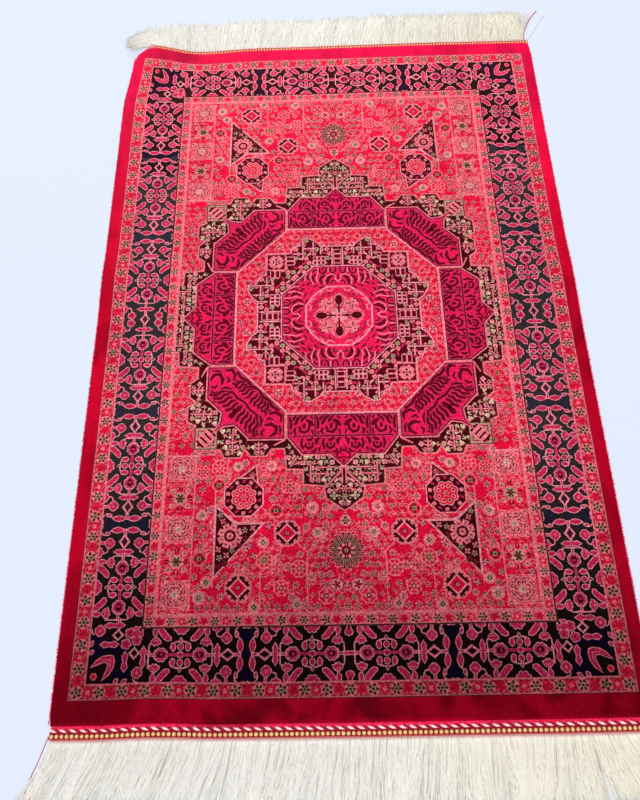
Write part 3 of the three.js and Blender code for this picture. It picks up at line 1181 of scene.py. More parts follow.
# Middling flowers: middle, reach, petals, figure, second.
field_flowers = [
    (425, 680, 17, 8, "olive", "russet"), (500, 755, 22, 4, "cocoa", "olive"),
    (272, 862, 22, 4, "cocoa", "olive"), (128, 852, 20, 8, "salmon", "cocoa"),
    (222, 765, 24, 8, "salmon", "russet"), (498, 685, 28, 8, "salmon", "scarlet"),
    (182, 1085, 27, 8, "salmon", "russet"), (315, 1050, 27, 8, "olive", "russet"),
    (565, 1042, 22, 4, "cocoa", "olive"), (562, 875, 18, 5, "olive", "russet"),
    (80, 1185, 25, 4, "salmon", "maroon"), (250, 1155, 24, 6, "salmon", "russet"),
    (40, 1145, 18, 5, "cocoa", "scarlet"), (0, 905, 18, 5, "cocoa", "olive"),
    (560, 1185, 20, 6, "olive", "russet"), (110, 950, 18, 6, "olive", "russet"),
    (565, 700, 22, 8, "salmon", "russet"), (290, 680, 18, 4, "salmon", "cocoa"),
    (352, 1222, 18, 0, "olive", "cocoa"), (190, 1215, 18, 0, "olive", "russet"),
    (535, 1130, 18, 0, "olive", "cocoa"), (320, 985, 18, 0, "olive", "russet"),
]


def field():
    """The scarlet field, thickly sown with small flowers round its larger motifs."""
    sow(panel(0, 0, 800, 1300), "scarlet", "salmon", "cocoa", 32)
    taken = [(x, y, reach) for _, x, y, reach in field_motifs]
    taken += [(x, y, reach + 4) for x, y, reach, *_ in field_flowers]
    triangle = grown(corner_triangle_edge, 14)
    star = grown(star_outline(), 4)
    clouds = []
    for i in range(96):
        x, y = 715 * (i * 0.61803 % 1), 560 + 680 * (i * 0.75488 % 1)
        if not inside((x, y), star):
            clouds.append((x, y, 20 + 18 * (i * 0.31 % 1)))
            outline = lobed(x, y, clouds[-1][2], 4 + i % 3, 0.2, i)
            if i % 3 or y > 1100:
                lay(outline, "scarlet")
            else:
                sow(outline, "salmon", "scarlet", "russet", 28)
    step = 37.5
    looks = [
        (4, "salmon", "maroon", "scarlet"), (6, "russet", "olive", "salmon"),
        (5, "salmon", "cocoa", "scarlet"), (0, "olive", "maroon", "scarlet"),
        (8, "russet", "salmon", "rose"), (4, "rose", "maroon", "russet"), (0, "cocoa", "salmon", "rose"),
    ]
    for row in range(35):
        for column in range(20):
            pick = (7 * column + 11 * row + column * row) % 13
            if pick == 12:
                continue
            x = (column + 0.5 * (row % 2) + 0.06 * (pick % 5)) * step
            y = (row + 0.5 + 0.08 * (pick % 4)) * step
            if x > 705 or y > 1232:
                continue
            if any(hypot(x - a, y - b) < reach + 8 for a, b, reach in taken):
                continue
            if inside((x, y), triangle) or inside((x, y), star):
                continue
            look = looks[pick % len(looks)]
            floret(x, y, 12.5 + 0.8 * (pick % 4), *look, pick, look[0] > 0)
    for points in (
        [(512, 640), (512, 1150)], [(30, 905), (150, 1025), (150, 1225)], [(150, 1025), (330, 845)],
        [(330, 1225), (330, 1100), (250, 1020)], [(480, 1225), (540, 1165), (590, 1165)],
    ):
        lay(stem(points, 4.2), "salmon")
    for motif, x, y, _ in field_motifs:
        motif(x, y)
    corner_triangle()
    for x, y, reach, petals, figure, second in field_flowers:
        lay(lobed(x, y, 1.3 * reach, 8, 0.12), "salmon")
        floret(x, y, reach, petals, figure, second, "scarlet" if reach > 21 else "rose")
    lay(stem([(596, 632), (596, 1232)], 5), "salmon")
    lay(stem([(596, 632), (705, 632)], 6), "rose")


def draw_chart():
    field()
    medallion()
    border()


# The pile cloth: the chart cut into triangles, mirrored to four quarters, rimmed and backed.
# ----------------------------------------
pile_reach = (chart_edge[0] * chart_unit, chart_edge[1] * chart_unit)
ground_cell = 0.0125
edge_station = 0.015
straight_run = 0.016
backing_cell = 0.0255
backing_margin = 0.008
same_place = 1e-6
# The rolled rim, from the pile's flat top round to the underside: in from the edge, and height.
rim_rings = [
    (0.0042, 0.006), (0.0024, 0.0057), (0.0011, 0.0049), (0.0003, 0.0038), (0.0, 0.0026),
    (0.0004, 0.0012), (0.0012, 0.0003), (0.0024, 0.0),
]
corner_round = 0.006


def linear_colour(name):
    """A yarn's colour as the renderer wants it."""
    values = [v / 255 for v in yarn_colours[name]]
    return [v / 12.92 if v <= 0.04045 else ((v + 0.055) / 1.055) ** 2.4 for v in values] + [1.0]


def with_stations(outline, station):
    """An outline in metres with points added along its long edges."""
    points = []
    for a, b in zip(outline, outline[1:] + outline[:1]):
        pieces = max(1, ceil(hypot(b[0] - a[0], b[1] - a[1]) / station))
        for i in range(pieces):
            share = i / pieces
            points.append((a[0] + (b[0] - a[0]) * share, a[1] + (b[1] - a[1]) * share))
    return points


def cut_triangles(outlines, loose):
    """Triangles over all the outlines and loose points, with the topmost outline of each."""
    corners, faces = [], []
    for outline in outlines:
        faces.append(list(range(len(corners), len(corners) + len(outline))))
        corners += outline
    corners = [Vector(p) for p in corners + loose]
    points, _, triangles, _, _, owners = delaunay_2d_cdt(corners, [], faces, 0, same_place, True)
    points = np.array([tuple(p) for p in points])
    triangles = np.array(triangles)
    owners = np.array([max(owner) if owner else -1 for owner in owners])
    return points, triangles, owners


def seen_edges(points, triangles, looks):
    """The edges where two looks meet or the chart ends, short straight ones run together."""
    pairs = np.concatenate([triangles[:, [0, 1]], triangles[:, [1, 2]], triangles[:, [2, 0]]])
    pairs = np.sort(pairs, axis=1)
    faces = np.tile(np.arange(len(triangles)), 3)
    order = np.lexsort((pairs[:, 1], pairs[:, 0]))
    pairs, faces = pairs[order], faces[order]
    twin = np.flatnonzero((pairs[1:] == pairs[:-1]).all(axis=1))
    alone = np.ones(len(pairs), bool)
    alone[twin] = alone[twin + 1] = False
    meeting = twin[looks[faces[twin]] != looks[faces[twin + 1]]]
    near = {}
    for a, b in np.concatenate([pairs[meeting], pairs[alone]]).tolist():
        near.setdefault(a, []).append(b)
        near.setdefault(b, []).append(a)
    places = points.tolist()
    for corner in sorted(near):
        if len(near[corner]) != 2:
            continue
        a, b = near[corner]
        (ax, ay), (x, y), (bx, by) = places[a], places[corner], places[b]
        ins, out = hypot(x - ax, y - ay), hypot(bx - x, by - y)
        bend = abs((x - ax) * (by - y) - (y - ay) * (bx - x))
        if bend < 0.004 * ins * out and ins + out < straight_run and b not in near[a]:
            near[a][near[a].index(corner)] = b
            near[b][near[b].index(corner)] = a
            near[corner] = []
    kept = sorted(corner for corner in near if near[corner])
    number = {corner: i for i, corner in enumerate(kept)}
    edges = [(number[a], number[b]) for a in kept for b in near[a] if a < b]
    return [places[corner] for corner in kept], edges


def in_quarter(points, triangles):
    middle = points[triangles].mean(axis=1)
    return ((middle > 0) & (middle < pile_reach)).all(axis=1)


def pile_quarter():
    """The quarter's points and triangles, and the chart's shape that each triangle shows.

    The chart is cut twice: once with every shape, to learn which is seen where, and once with
    only the edges that are seen.
    """
    reach_x, reach_y = pile_reach
    outlines = [with_stations([(0, 0), (reach_x, 0), (reach_x, reach_y), (0, reach_y)], edge_station)]
    for outline, _, _ in chart:
        scaled = [(x * chart_unit, y * chart_unit) for x, y in outline]
        if area_of(scaled) < 0:
            scaled.reverse()
        outlines.append(with_stations(scaled, straight_run))
    points, triangles, owners = cut_triangles(outlines, [])
    kept = in_quarter(points, triangles) & (owners > 0)
    triangles, owners = triangles[kept], owners[kept] - 1

    looks = {}
    look_of = np.array([looks.setdefault((yarn, knots), len(looks)) for _, yarn, knots in chart])
    corners, edges = seen_edges(points, triangles, look_of[owners])
    for column in range(1, int(reach_x / ground_cell)):
        for row in range(1, int(reach_y / ground_cell)):
            corners.append(((column + 0.5 * (row % 2)) * ground_cell, row * ground_cell))
    seen, _, seen_triangles, _, _, _ = delaunay_2d_cdt(
        [Vector(p) for p in corners], edges, [], 0, same_place, False
    )
    seen = np.array([tuple(p) for p in seen])
    seen_triangles = np.array(seen_triangles)
    seen_triangles = seen_triangles[in_quarter(seen, seen_triangles)]
    below = BVHTree.FromPolygons([(x, y, 0) for x, y in points.tolist()], triangles.tolist())
    shape_of = []
    for x, y in seen[seen_triangles].mean(axis=1).tolist():
        _, _, hit, _ = below.ray_cast((x, y, 1), (0, 0, -1))
        if hit is None:
            _, _, hit, _ = below.find_nearest((x, y, 0))
        shape_of.append(owners[hit])
    return seen, seen_triangles, np.array(shape_of)


def rim_place(points, inset):
    """Where the pile's boundary goes on the ring that is that far in from the cloth's edge."""
    x, y = points[:, 0], points[:, 1]
    side = np.where(x > 0, cloth["right"], -cloth["left"]) - inset
    end = np.where(y > 0, cloth["far"], -cloth["near"]) - inset
    placed = np.stack([x / pile_reach[0] * side, y / pile_reach[1] * end], axis=1)
    over_x = np.maximum(0, np.abs(placed[:, 0]) - (side - corner_round))
    over_y = np.maximum(0, np.abs(placed[:, 1]) - (end - corner_round))
    both = np.hypot(over_x, over_y)
    shrink = np.where((over_x > 0) & (over_y > 0), corner_round / np.maximum(both, corner_round), 1)
    placed[:, 0] -= np.sign(placed[:, 0]) * over_x * (1 - shrink)
    placed[:, 1] -= np.sign(placed[:, 1]) * over_y * (1 - shrink)
    return placed


def whole_pile():
    """The four quarters as one: points, triangles, each one's shape and its corners' places in
    the quarter."""
    quarter, triangles, owners = pile_quarter()
    points, faces, shape_of, local = [], [], [], []
    for sign_x, sign_y in ((1, 1), (-1, 1), (-1, -1), (1, -1)):
        turned = triangles if sign_x * sign_y > 0 else triangles[:, ::-1]
        faces.append(turned + len(points) * len(quarter))
        points.append(quarter * (sign_x, sign_y))
        shape_of.append(owners)
        local.append(quarter[turned])
    points, faces, shape_of, local = map(np.concatenate, (points, faces, shape_of, local))
    keys = np.round(points / same_place).astype(np.int64)
    _, first, same = np.unique(keys, axis=0, return_index=True, return_inverse=True)
    points = points[first]
    faces = same.reshape(-1)[faces]
    good = (faces[:, 0] != faces[:, 1]) & (faces[:, 1] != faces[:, 2]) & (faces[:, 0] != faces[:, 2])
    once = np.zeros(len(faces), bool)
    once[np.unique(np.sort(faces, axis=1), axis=0, return_index=True)[1]] = True
    good &= once
    return points, faces[good], shape_of[good], local[good]


def write_pattern(piece, shape_of, local):
    """Writes each knot's yarns and its place in its own figure on the corners of the pile."""
    loops, top = len(piece.data.loops), 3 * len(shape_of)
    names = list(yarn_colours)
    palette = np.array([linear_colour(name) for name in names])
    yarns = {"figure": [], "second": [], "ground": []}
    motif = []
    for _, yarn, knots in chart:
        second, ground = (knots[5], knots[6]) if knots else (yarn, yarn)
        for key, name in (("figure", yarn), ("second", second), ("ground", ground)):
            yarns[key].append(names.index(name))
        motif.append(knots[:5] if knots else (plain, *unturned))
    motif = np.array(motif, float)
    rim_yarn = palette[names.index("crimson")]
    for key, picks in yarns.items():
        values = np.tile(rim_yarn, (loops, 1))
        values[:top] = np.repeat(palette[np.array(picks)[shape_of]], 3, axis=0)
        write_attribute(piece, key, values, "FLOAT_COLOR", "CORNER")
    petals, middle_x, middle_y, reach, turn = np.repeat(motif[shape_of], 3, axis=0).T
    spot = local.reshape(-1, 2) / chart_unit
    across, along = (spot[:, 0] - middle_x) / reach, (spot[:, 1] - middle_y) / reach
    # The rim reads as the plain band, with its painted sheen and shade.
    knots = np.full((loops, 3), float(nap_and_sheen_band))
    knots[:top, 0] = across * np.cos(turn) + along * np.sin(turn)
    knots[:top, 1] = along * np.cos(turn) - across * np.sin(turn)
    knots[:top, 2] = petals
    write_attribute(piece, "knots", knots, "FLOAT_VECTOR", "CORNER")


def make_pile():
    points, faces, shape_of, local = whole_pile()
    reach_x, reach_y = pile_reach
    on_side = np.abs(np.abs(points[:, 0]) - reach_x) < same_place
    on_end = np.abs(np.abs(points[:, 1]) - reach_y) < same_place
    loop = np.flatnonzero(on_side | on_end)
    order = np.argsort(np.arctan2(points[loop, 1] / reach_y, points[loop, 0] / reach_x))
    loop = loop[order]
    boundary = points[loop]

    flat = [np.column_stack([points, np.full(len(points), cloth["thick"])])]
    before = loop
    total = len(points)
    rim_faces = []
    count = len(loop)
    after_step = np.roll(np.arange(count), -1)
    for inset, height in rim_rings:
        placed = rim_place(boundary, inset)
        flat.append(np.column_stack([placed, np.full(count, height)]))
        ring = np.arange(total, total + count)
        total += count
        rim_faces += np.stack(
            [before, ring, ring[after_step], before[after_step]], axis=1
        ).tolist()
        before = ring
    last = flat[-1][:, :2]
    inner = []
    for column in range(-15, 16):
        for row in range(-23, 24):
            x, y = column * backing_cell, row * backing_cell
            if cloth["left"] + backing_margin < x < cloth["right"] - backing_margin:
                if cloth["near"] + backing_margin < y < cloth["far"] - backing_margin:
                    inner.append((x, y))
    under, under_faces, _ = cut_triangles([[tuple(p) for p in last]], inner)
    link = np.empty(len(under), int)
    for i, spot in enumerate(under):
        gap = np.hypot(last[:, 0] - spot[0], last[:, 1] - spot[1])
        nearest = int(np.argmin(gap))
        if gap[nearest] < same_place:
            link[i] = before[nearest]
        else:
            link[i] = total
            flat.append(np.array([[spot[0], spot[1], 0.0]]))
            total += 1
    under_faces = link[under_faces][:, ::-1]
    flat = np.concatenate(flat)
    top_count = len(faces)
    all_faces = faces.tolist() + rim_faces + under_faces.tolist()
    piece = make_piece("pile_cloth_knotted", laid(flat), all_faces)
    if len(piece.data.polygons) != len(all_faces):
        raise ValueError("the pile cloth lost faces")

    ends = np.empty(len(piece.data.edges) * 2, np.int32)
    piece.data.edges.foreach_get("vertices", ends)
    piece.data.edges.foreach_set("use_edge_sharp", np.isin(ends.reshape(-1, 2), loop).all(axis=1))
    write_pattern(piece, shape_of, local)
    picks = np.zeros(len(all_faces), np.int32)
    picks[top_count + len(rim_faces) - 2 * count :] = 1
    piece.data.materials.append(finished("knotted pile", build_pile))
    piece.data.materials.append(finished("woven backing", build_backing))
    piece.data.polygons.foreach_set("material_index", picks)
    settle(piece, "pile_cloth", "pile")
    return piece


# The cut ends of the pile that stand out all along the cloth's edges.
# ----------------------------------------
def make_edge_tufts():
    draw = np.random.default_rng(11)
    width, length = cloth["right"] - cloth["left"], cloth["far"] - cloth["near"]
    sets = (
        (8000, (0, -1), 0.0022, 0.0023), (1300, (0, -1), 0.022, 0.0006),
        (3600, (-1, 0), 0.0016, 0.0012), (3600, (1, 0), 0.0016, 0.0012),
        (2600, (0, 1), 0.0016, 0.001),
    )
    roots, tips = [], []
    for count, (out_x, out_y), deep, tall in sets:
        back = deep * draw.random(count) ** (2.0 if deep > 0.01 else 1.0)
        if out_x:
            side = cloth["right"] if out_x > 0 else cloth["left"]
            x = side - out_x * back
            y = cloth["near"] + 0.004 + (length - 0.03) * draw.random(count)
        else:
            end = cloth["far"] if out_y > 0 else cloth["near"]
            x = cloth["left"] + 0.005 + (width - 0.01) * draw.random(count)
            y = end - out_y * back
        z = np.interp(back, [0.0, 0.0012, 0.003], [0.0046, 0.0056, 0.006])
        reach = tall * draw.uniform(0.5, 1.2, count)
        lean = np.interp(back, [0.0, 0.003, 0.006], [1.0, 0.7, 0.1])
        tip_x = x + reach * (out_x * lean + draw.normal(0, 0.35, count))
        tip_y = y + reach * (out_y * lean + draw.normal(0, 0.35, count))
        tip_z = z + reach * (0.35 + draw.normal(0, 0.15, count))
        roots.append(np.column_stack([x, y, z - 0.0004]))
        tips.append(np.column_stack([tip_x, tip_y, np.minimum(tip_z, 0.0076)]))
    lines = np.stack([laid(np.concatenate(roots)), laid(np.concatenate(tips))], axis=1)
    radii = np.tile([0.00048, 0.00016], (len(lines), 1))
    points, faces, (_, _, number) = tubes(lines, radii, 3)
    piece = make_piece("edge_tufts", points, faces)
    write_attribute(piece, "strand", draw.random(len(lines))[number])
    settle(piece, "pile_cloth", "pile", finished("cut pile ends", build_tufts))
    return piece


# The plied cord and the beaded braids.
# ----------------------------------------
ply_radii = (0.00165, 0.00198)
ply_twist = 0.0136
bead_size = (0.83, 0.0052, 0.0044)
far_end_tucked = 0.036
binding_thread = np.array([
    (-0.0006, -0.0036, 0.0016), (-0.0002, -0.0018, 0.0032), (0, 0, 0.0034),
    (0.0002, 0.0018, 0.0032), (0.0006, 0.0036, 0.0016),
])


def ply_lines(turns_apart, ply_radius, stations):
    """The line of one of the cord's plies, winding round the cord's middle."""
    x = np.linspace(cloth["left"] + end_inset + 0.001, cloth["right"] - end_inset - 0.001, stations)
    turn = 2 * pi * ((x - x[0]) / ply_twist + turns_apart)
    wind = 0.0006 if ply_radius < max(ply_radii) else cord_diameter / 2 - ply_radius
    y = near_cord_y + wind * np.cos(turn)
    z = cord_diameter / 2 + wind * np.sin(turn)
    return laid(np.column_stack([x, y, z]))


def make_plied_cord():
    stations = 59 * 12 + 1
    lines = np.stack([ply_lines(part / 2, ply_radii[part], stations) for part in range(2)])
    taper = np.ones(stations)
    taper[:2] = taper[-2:][::-1] = (0.35, 0.8)
    radii = np.array(ply_radii)[:, None] * taper[None, :]
    points, faces, (along, round_it, number) = tubes(lines, radii, 10)
    x = np.linspace(cloth["left"] + end_inset + 0.001, cloth["right"] - end_inset - 0.001, 200)
    sewing = laid(np.column_stack([x, np.full(200, near_cord_y - 0.003), np.full(200, 0.004)]))
    sewn, sewn_faces, (sewn_along, sewn_round, _) = tube(sewing, 0.0009, 8)
    faces += [[len(points) + corner for corner in face] for face in sewn_faces]
    piece = make_piece("near_plied_cord_spun", np.concatenate([points, sewn]), faces)
    write_attribute(piece, "along", np.concatenate([along, sewn_along]))
    write_attribute(piece, "round_it", np.concatenate([round_it, sewn_round]))
    write_attribute(piece, "strand", np.concatenate([number, np.ones(len(sewn))]))
    settle(piece, "near_plied_cord", "plied_cord", finished("plied cord yarn", build_ply))
    return piece


def bead_shape():
    """One bead: a knot of gold yarn, longer across the braid, with rounded shoulders."""
    rings, sides = 6, 10
    points, faces = [], []
    for i in range(1, rings):
        turn = pi * i / rings
        for k in range(sides):
            angle = 2 * pi * k / sides
            ring = sin(turn) ** 0.8
            points.append((ring * cos(angle), cos(turn), ring * sin(angle)))
    for i in range(rings - 2):
        for k in range(sides):
            a, b = i * sides + k, i * sides + (k + 1) % sides
            faces.append((a, b, b + sides, a + sides))
    first, last = len(points), len(points) + 1
    points += [(0, 1, 0), (0, -1, 0)]
    for k in range(sides):
        a, b = k, (k + 1) % sides
        faces.append((first, b, a))
        faces.append((last, (rings - 2) * sides + a, (rings - 2) * sides + b))
    return np.array(points), faces


def tucked(points, outwards):
    """The far braid's left end goes in under the cloth's turned corner."""
    share = np.clip((cloth["left"] + far_end_tucked - points[:, 0]) / 0.006, 0, 1)
    return points + np.outer(share * max(outwards, 0), (0.01, -0.0095, 0))


def make_braid(name, node, middle_y, outwards, bead_pitch, tilt):
    """A sewn band with a row of beads on it, and twisted threads between and outside them."""
    stations = 120
    x = np.linspace(cloth["left"] + end_inset, cloth["right"] - end_inset, stations)
    points, faces, along, strand = [], [], [], []

    def join(new_points, new_faces, lengths, kind):
        start = sum(len(p) for p in points)
        points.append(new_points)
        faces.extend([[start + k for k in face] for face in new_faces])
        along.append(lengths)
        strand.append(np.full(len(new_points), kind, float))

    def join_tube(line, radius, sides, kind):
        new_points, new_faces, (length, _, _) = tube(laid(tucked(line, outwards)), radius, sides)
        join(new_points, new_faces, length, kind)

    band = np.column_stack([x, np.full(stations, middle_y), np.full(stations, 0.0013)])
    rows = [(-0.0031, 0.0012), (-0.0011, 0.0014), (0.0011, 0.0014), (0.0031, 0.0012)]
    for offset, radius in rows:
        taper = np.full(stations, radius)
        taper[0] = taper[-1] = radius * 0.4
        join_tube(band + (0, offset, 0), taper, 8, 0)
    bead, bead_faces = bead_shape()
    count = int((x[-1] - x[0]) / bead_pitch)
    pitch = (x[-1] - x[0]) / count
    draw = random.Random(7)
    for i in range(count):
        place_x = x[0] + (i + 0.5) * pitch
        size = [value * draw.uniform(0.94, 1.06) / 2 for value in (bead_size[0] * pitch, *bead_size[1:])]
        turn = tilt + draw.uniform(-0.16, 0.16)
        cosine, sine = cos(turn), sin(turn)
        shaped = bead * size
        placed = np.column_stack([
            place_x + shaped[:, 0] * cosine - shaped[:, 1] * sine,
            middle_y - outwards * 0.0006 + shaped[:, 0] * sine + shaped[:, 1] * cosine,
            0.0021 + shaped[:, 2],
        ])
        join(laid(tucked(placed, outwards)), bead_faces, bead[:, 1] * size[1], 1)
    for i in range(count + 1):
        place_x = min(max(x[0] + i * pitch, x[0] + 0.001), x[-1] - 0.001)
        join_tube(binding_thread + (place_x, middle_y, 0), (0.0005, 0.0008, 0.0008, 0.0008, 0.0005), 6, 2)
    whip_x = np.linspace(x[0] + 0.0006, x[-1] - 0.0006, 59 * 10)
    turn = 2 * pi * whip_x / 0.0045
    for half in (0, pi):
        line = np.column_stack([
            whip_x,
            middle_y + outwards * 0.0033 + 0.0005 * np.cos(turn + half),
            0.0026 + 0.0005 * np.sin(turn + half),
        ])
        join_tube(line, 0.0006, 5, 3)
    piece = make_piece(name, np.concatenate(points), faces)
    write_attribute(piece, "along", np.concatenate(along))
    write_attribute(piece, "strand", np.concatenate(strand))
    settle(piece, node, "beaded_braid", finished("beaded braid yarn", build_braid))
    return piece


# The fringes: locks of fine strands, each lock leaning as its neighbours do.
# ----------------------------------------
strand_radius = 0.0005
under_radius = 0.00085
strands_in_lock = 15
under_strands = 7
lock_pitch = 0.0056
crowded_locks = 12
crowded_reach = 0.04
strand_stations = 10


def make_fringe(name, node, rows, bar_y, outwards, ragged, clumped, seed):
    draw = np.random.default_rng(seed)
    places, leans, reaches = (np.array(column, float) for column in zip(*rows))
    first, last = places[0] - 0.003, places[-1] + 0.003
    middles = list(np.arange(first, last, lock_pitch) + lock_pitch / 2)
    if outwards > 0:
        middles += list(np.linspace(first, first + crowded_reach, crowded_locks))
    locks = len(middles)
    share = np.linspace(0, 1, strand_stations)
    settling = np.interp(share, [0, 0.3, 1], [0.35, 1.0, 1.12])
    sways = np.convolve(draw.normal(0, 1, locks + 4), np.full(5, 5 ** -0.5), "valid")
    lines, painted_depth_shade, thick = [], [], []
    for lock in range(locks):
        middle = middles[lock]
        lean = radians(float(np.interp(middle, places, leans)) + draw.normal(0, 2.2) + 2.5 * sways[lock])
        reach = float(np.interp(middle, places, reaches)) + 0.001 + draw.normal(0, ragged)
        curl = draw.normal(0, 0.08) + 0.12 * sways[lock]
        wave = draw.uniform(0.0, 0.0012)
        phase = draw.uniform(0, 2 * pi)
        for strand in range(strands_in_lock + under_strands):
            under = strand >= strands_in_lock
            root = middle + draw.uniform(-0.5, 0.5) * lock_pitch
            own_lean = lean + draw.normal(0, 0.035 + 45 * ragged)
            own_reach = reach * draw.uniform(0.97 - 45 * ragged, 1.01)
            own_curl = curl + draw.normal(0, 0.06 + 60 * ragged)
            level = draw.uniform(0.0005, 0.0024)
            if under:
                root = middle + ((strand - strands_in_lock + 0.5) / under_strands - 0.5) * lock_pitch
                own_lean = radians(float(np.interp(root, places, leans)) + draw.normal(0, 0.8))
                own_reach, own_curl, level = reach * 0.9, 0.0, 0.0009
            # Painted shade for each strand: the deeper it lies, the darker it is painted; the under strands
            # are painted dark between the locks.
            painted_depth_shade.append(draw.uniform(0.1, 0.5) if under else (level - 0.0005) / 0.0019)
            thick.append(under_radius if under else strand_radius * draw.uniform(0.8, 1.25))
            angle = own_lean * settling + own_curl * share
            step = own_reach / (strand_stations - 1)
            aside = np.concatenate([[0], np.cumsum(np.sin(angle[1:]) * step)])
            out = np.concatenate([[0], np.cumsum(np.cos(angle[1:]) * step)])
            waver = wave * np.sin(phase + 9 * share) * share - clumped * (root - middle) * share
            fall = level * (1 - 0.55 * share) + 0.0004
            line = np.column_stack([
                root + aside + waver, bar_y + outwards * (out - 0.0012), fall,
            ])
            line[0, 2] = 0.0012
            lie = laid(line)
            lie[:, :2] = line[:, :2] + (lie[0] - line[0])[:2]
            lines.append(lie)
    lines = np.array(lines)
    widths = np.array(thick)[:, None] * np.interp(share, [0, 0.85, 1], [1, 0.9, 0.35])[None, :]
    lines[:, :, 2] = np.maximum(lines[:, :, 2], widths * 1.05)
    points, faces, (along, _, number) = tubes(lines, widths, 3)
    piece = make_piece(name, points, faces)
    # The painted shade, with some at random, goes to the strand attribute.
    shade = np.clip(np.array(painted_depth_shade) + draw.normal(0, 0.12, len(lines)), 0, 1)
    write_attribute(piece, "along", along)
    write_attribute(piece, "strand", shade[number])
    settle(piece, node, "fringe_yarn", finished("silky fringe yarn", build_fringe))
    return piece


# Materials.
# ----------------------------------------
made_materials = {}


class Worked:
    """A value that the material's nodes work out, written like plain arithmetic."""

    def __init__(self, tree, socket):
        self.tree, self.socket = tree, socket

    def of(self, operation, *others):
        return sums(self.tree, operation, self, *others)

    __add__ = partialmethod(of, "ADD")
    __sub__ = partialmethod(of, "SUBTRACT")
    __mul__ = partialmethod(of, "MULTIPLY")
    __lt__ = partialmethod(of, "LESS_THAN")
    __gt__ = partialmethod(of, "GREATER_THAN")
    __abs__ = partialmethod(of, "ABSOLUTE")

    def without(self):
        """One less the value."""
        return self * -1 + 1


def give(tree, node, sockets):
    """Gives each named or numbered socket of a node its value or its link."""
    for key, value in sockets.items():
        if isinstance(value, Worked):
            value = value.socket
        if isinstance(value, bpy.types.NodeSocket):
            tree.links.new(value, node.inputs[key])
        else:
            node.inputs[key].default_value = value


def add(tree, kind, sockets=(), **settings):
    """A node with its settings and what its sockets are given."""
    node = tree.nodes.new(kind)
    for key, value in settings.items():
        setattr(node, key, value)
    give(tree, node, dict(sockets))
    return node


def sums(tree, operation, first, second=0, third=0):
    sockets = {0: first, 1: second, 2: third}
    return Worked(tree, add(tree, "ShaderNodeMath", sockets, operation=operation).outputs[0])


def vectors(tree, operation, first, second):
    return add(tree, "ShaderNodeVectorMath", {0: first, 1: second}, operation=operation).outputs[0]


def blended(tree, share, first, second, blend_type="MIX"):
    sockets = {0: share, 6: first, 7: second}
    return add(tree, "ShaderNodeMix", sockets, data_type="RGBA", blend_type=blend_type).outputs[2]


def shaded(tree, colour, shade):
    """A colour made lighter or darker by a factor."""
    factor = add(tree, "ShaderNodeCombineXYZ", {0: shade, 1: shade, 2: shade}).outputs[0]
    return blended(tree, 1, colour, factor, "MULTIPLY")


def stretched(tree, factor=(1, 1, 1)):
    """Object coordinates, stretched by a factor along each axis."""
    return vectors(tree, "MULTIPLY", add(tree, "ShaderNodeTexCoord").outputs["Object"], factor)


def place_along(tree, axis):
    """How far along an axis the spot is, in metres."""
    place = add(tree, "ShaderNodeTexCoord").outputs["Object"]
    return add(tree, "ShaderNodeSeparateXYZ", {0: place}).outputs[axis]


def noise(tree, scale, stretch=(1, 1, 1), detail=2, output="Fac", distortion=0):
    place = stretched(tree, stretch)
    sockets = {"Vector": place, "Scale": scale, "Detail": detail, "Distortion": distortion}
    return add(tree, "ShaderNodeTexNoise", sockets).outputs[output]


def ranged(tree, value, low, high, new_low, new_high, shape="LINEAR"):
    sockets = {0: value, 1: low, 2: high, 3: new_low, 4: new_high}
    return Worked(tree, add(tree, "ShaderNodeMapRange", sockets, interpolation_type=shape).outputs[0])


def attribute(tree, name, output="Fac"):
    return add(tree, "ShaderNodeAttribute", attribute_name=name).outputs[output]


def finished(name, build):
    """The material of that name, built the first time it is asked for."""
    if name not in made_materials:
        material = bpy.data.materials.new(name)
        material.use_nodes = True
        build(material.node_tree, material.node_tree.nodes["Principled BSDF"])
        made_materials[name] = material
    return made_materials[name]


def bumped(tree, height, distance, strength=1):
    sockets = {"Height": height, "Distance": distance, "Strength": strength}
    return add(tree, "ShaderNodeBump", sockets).outputs[0]


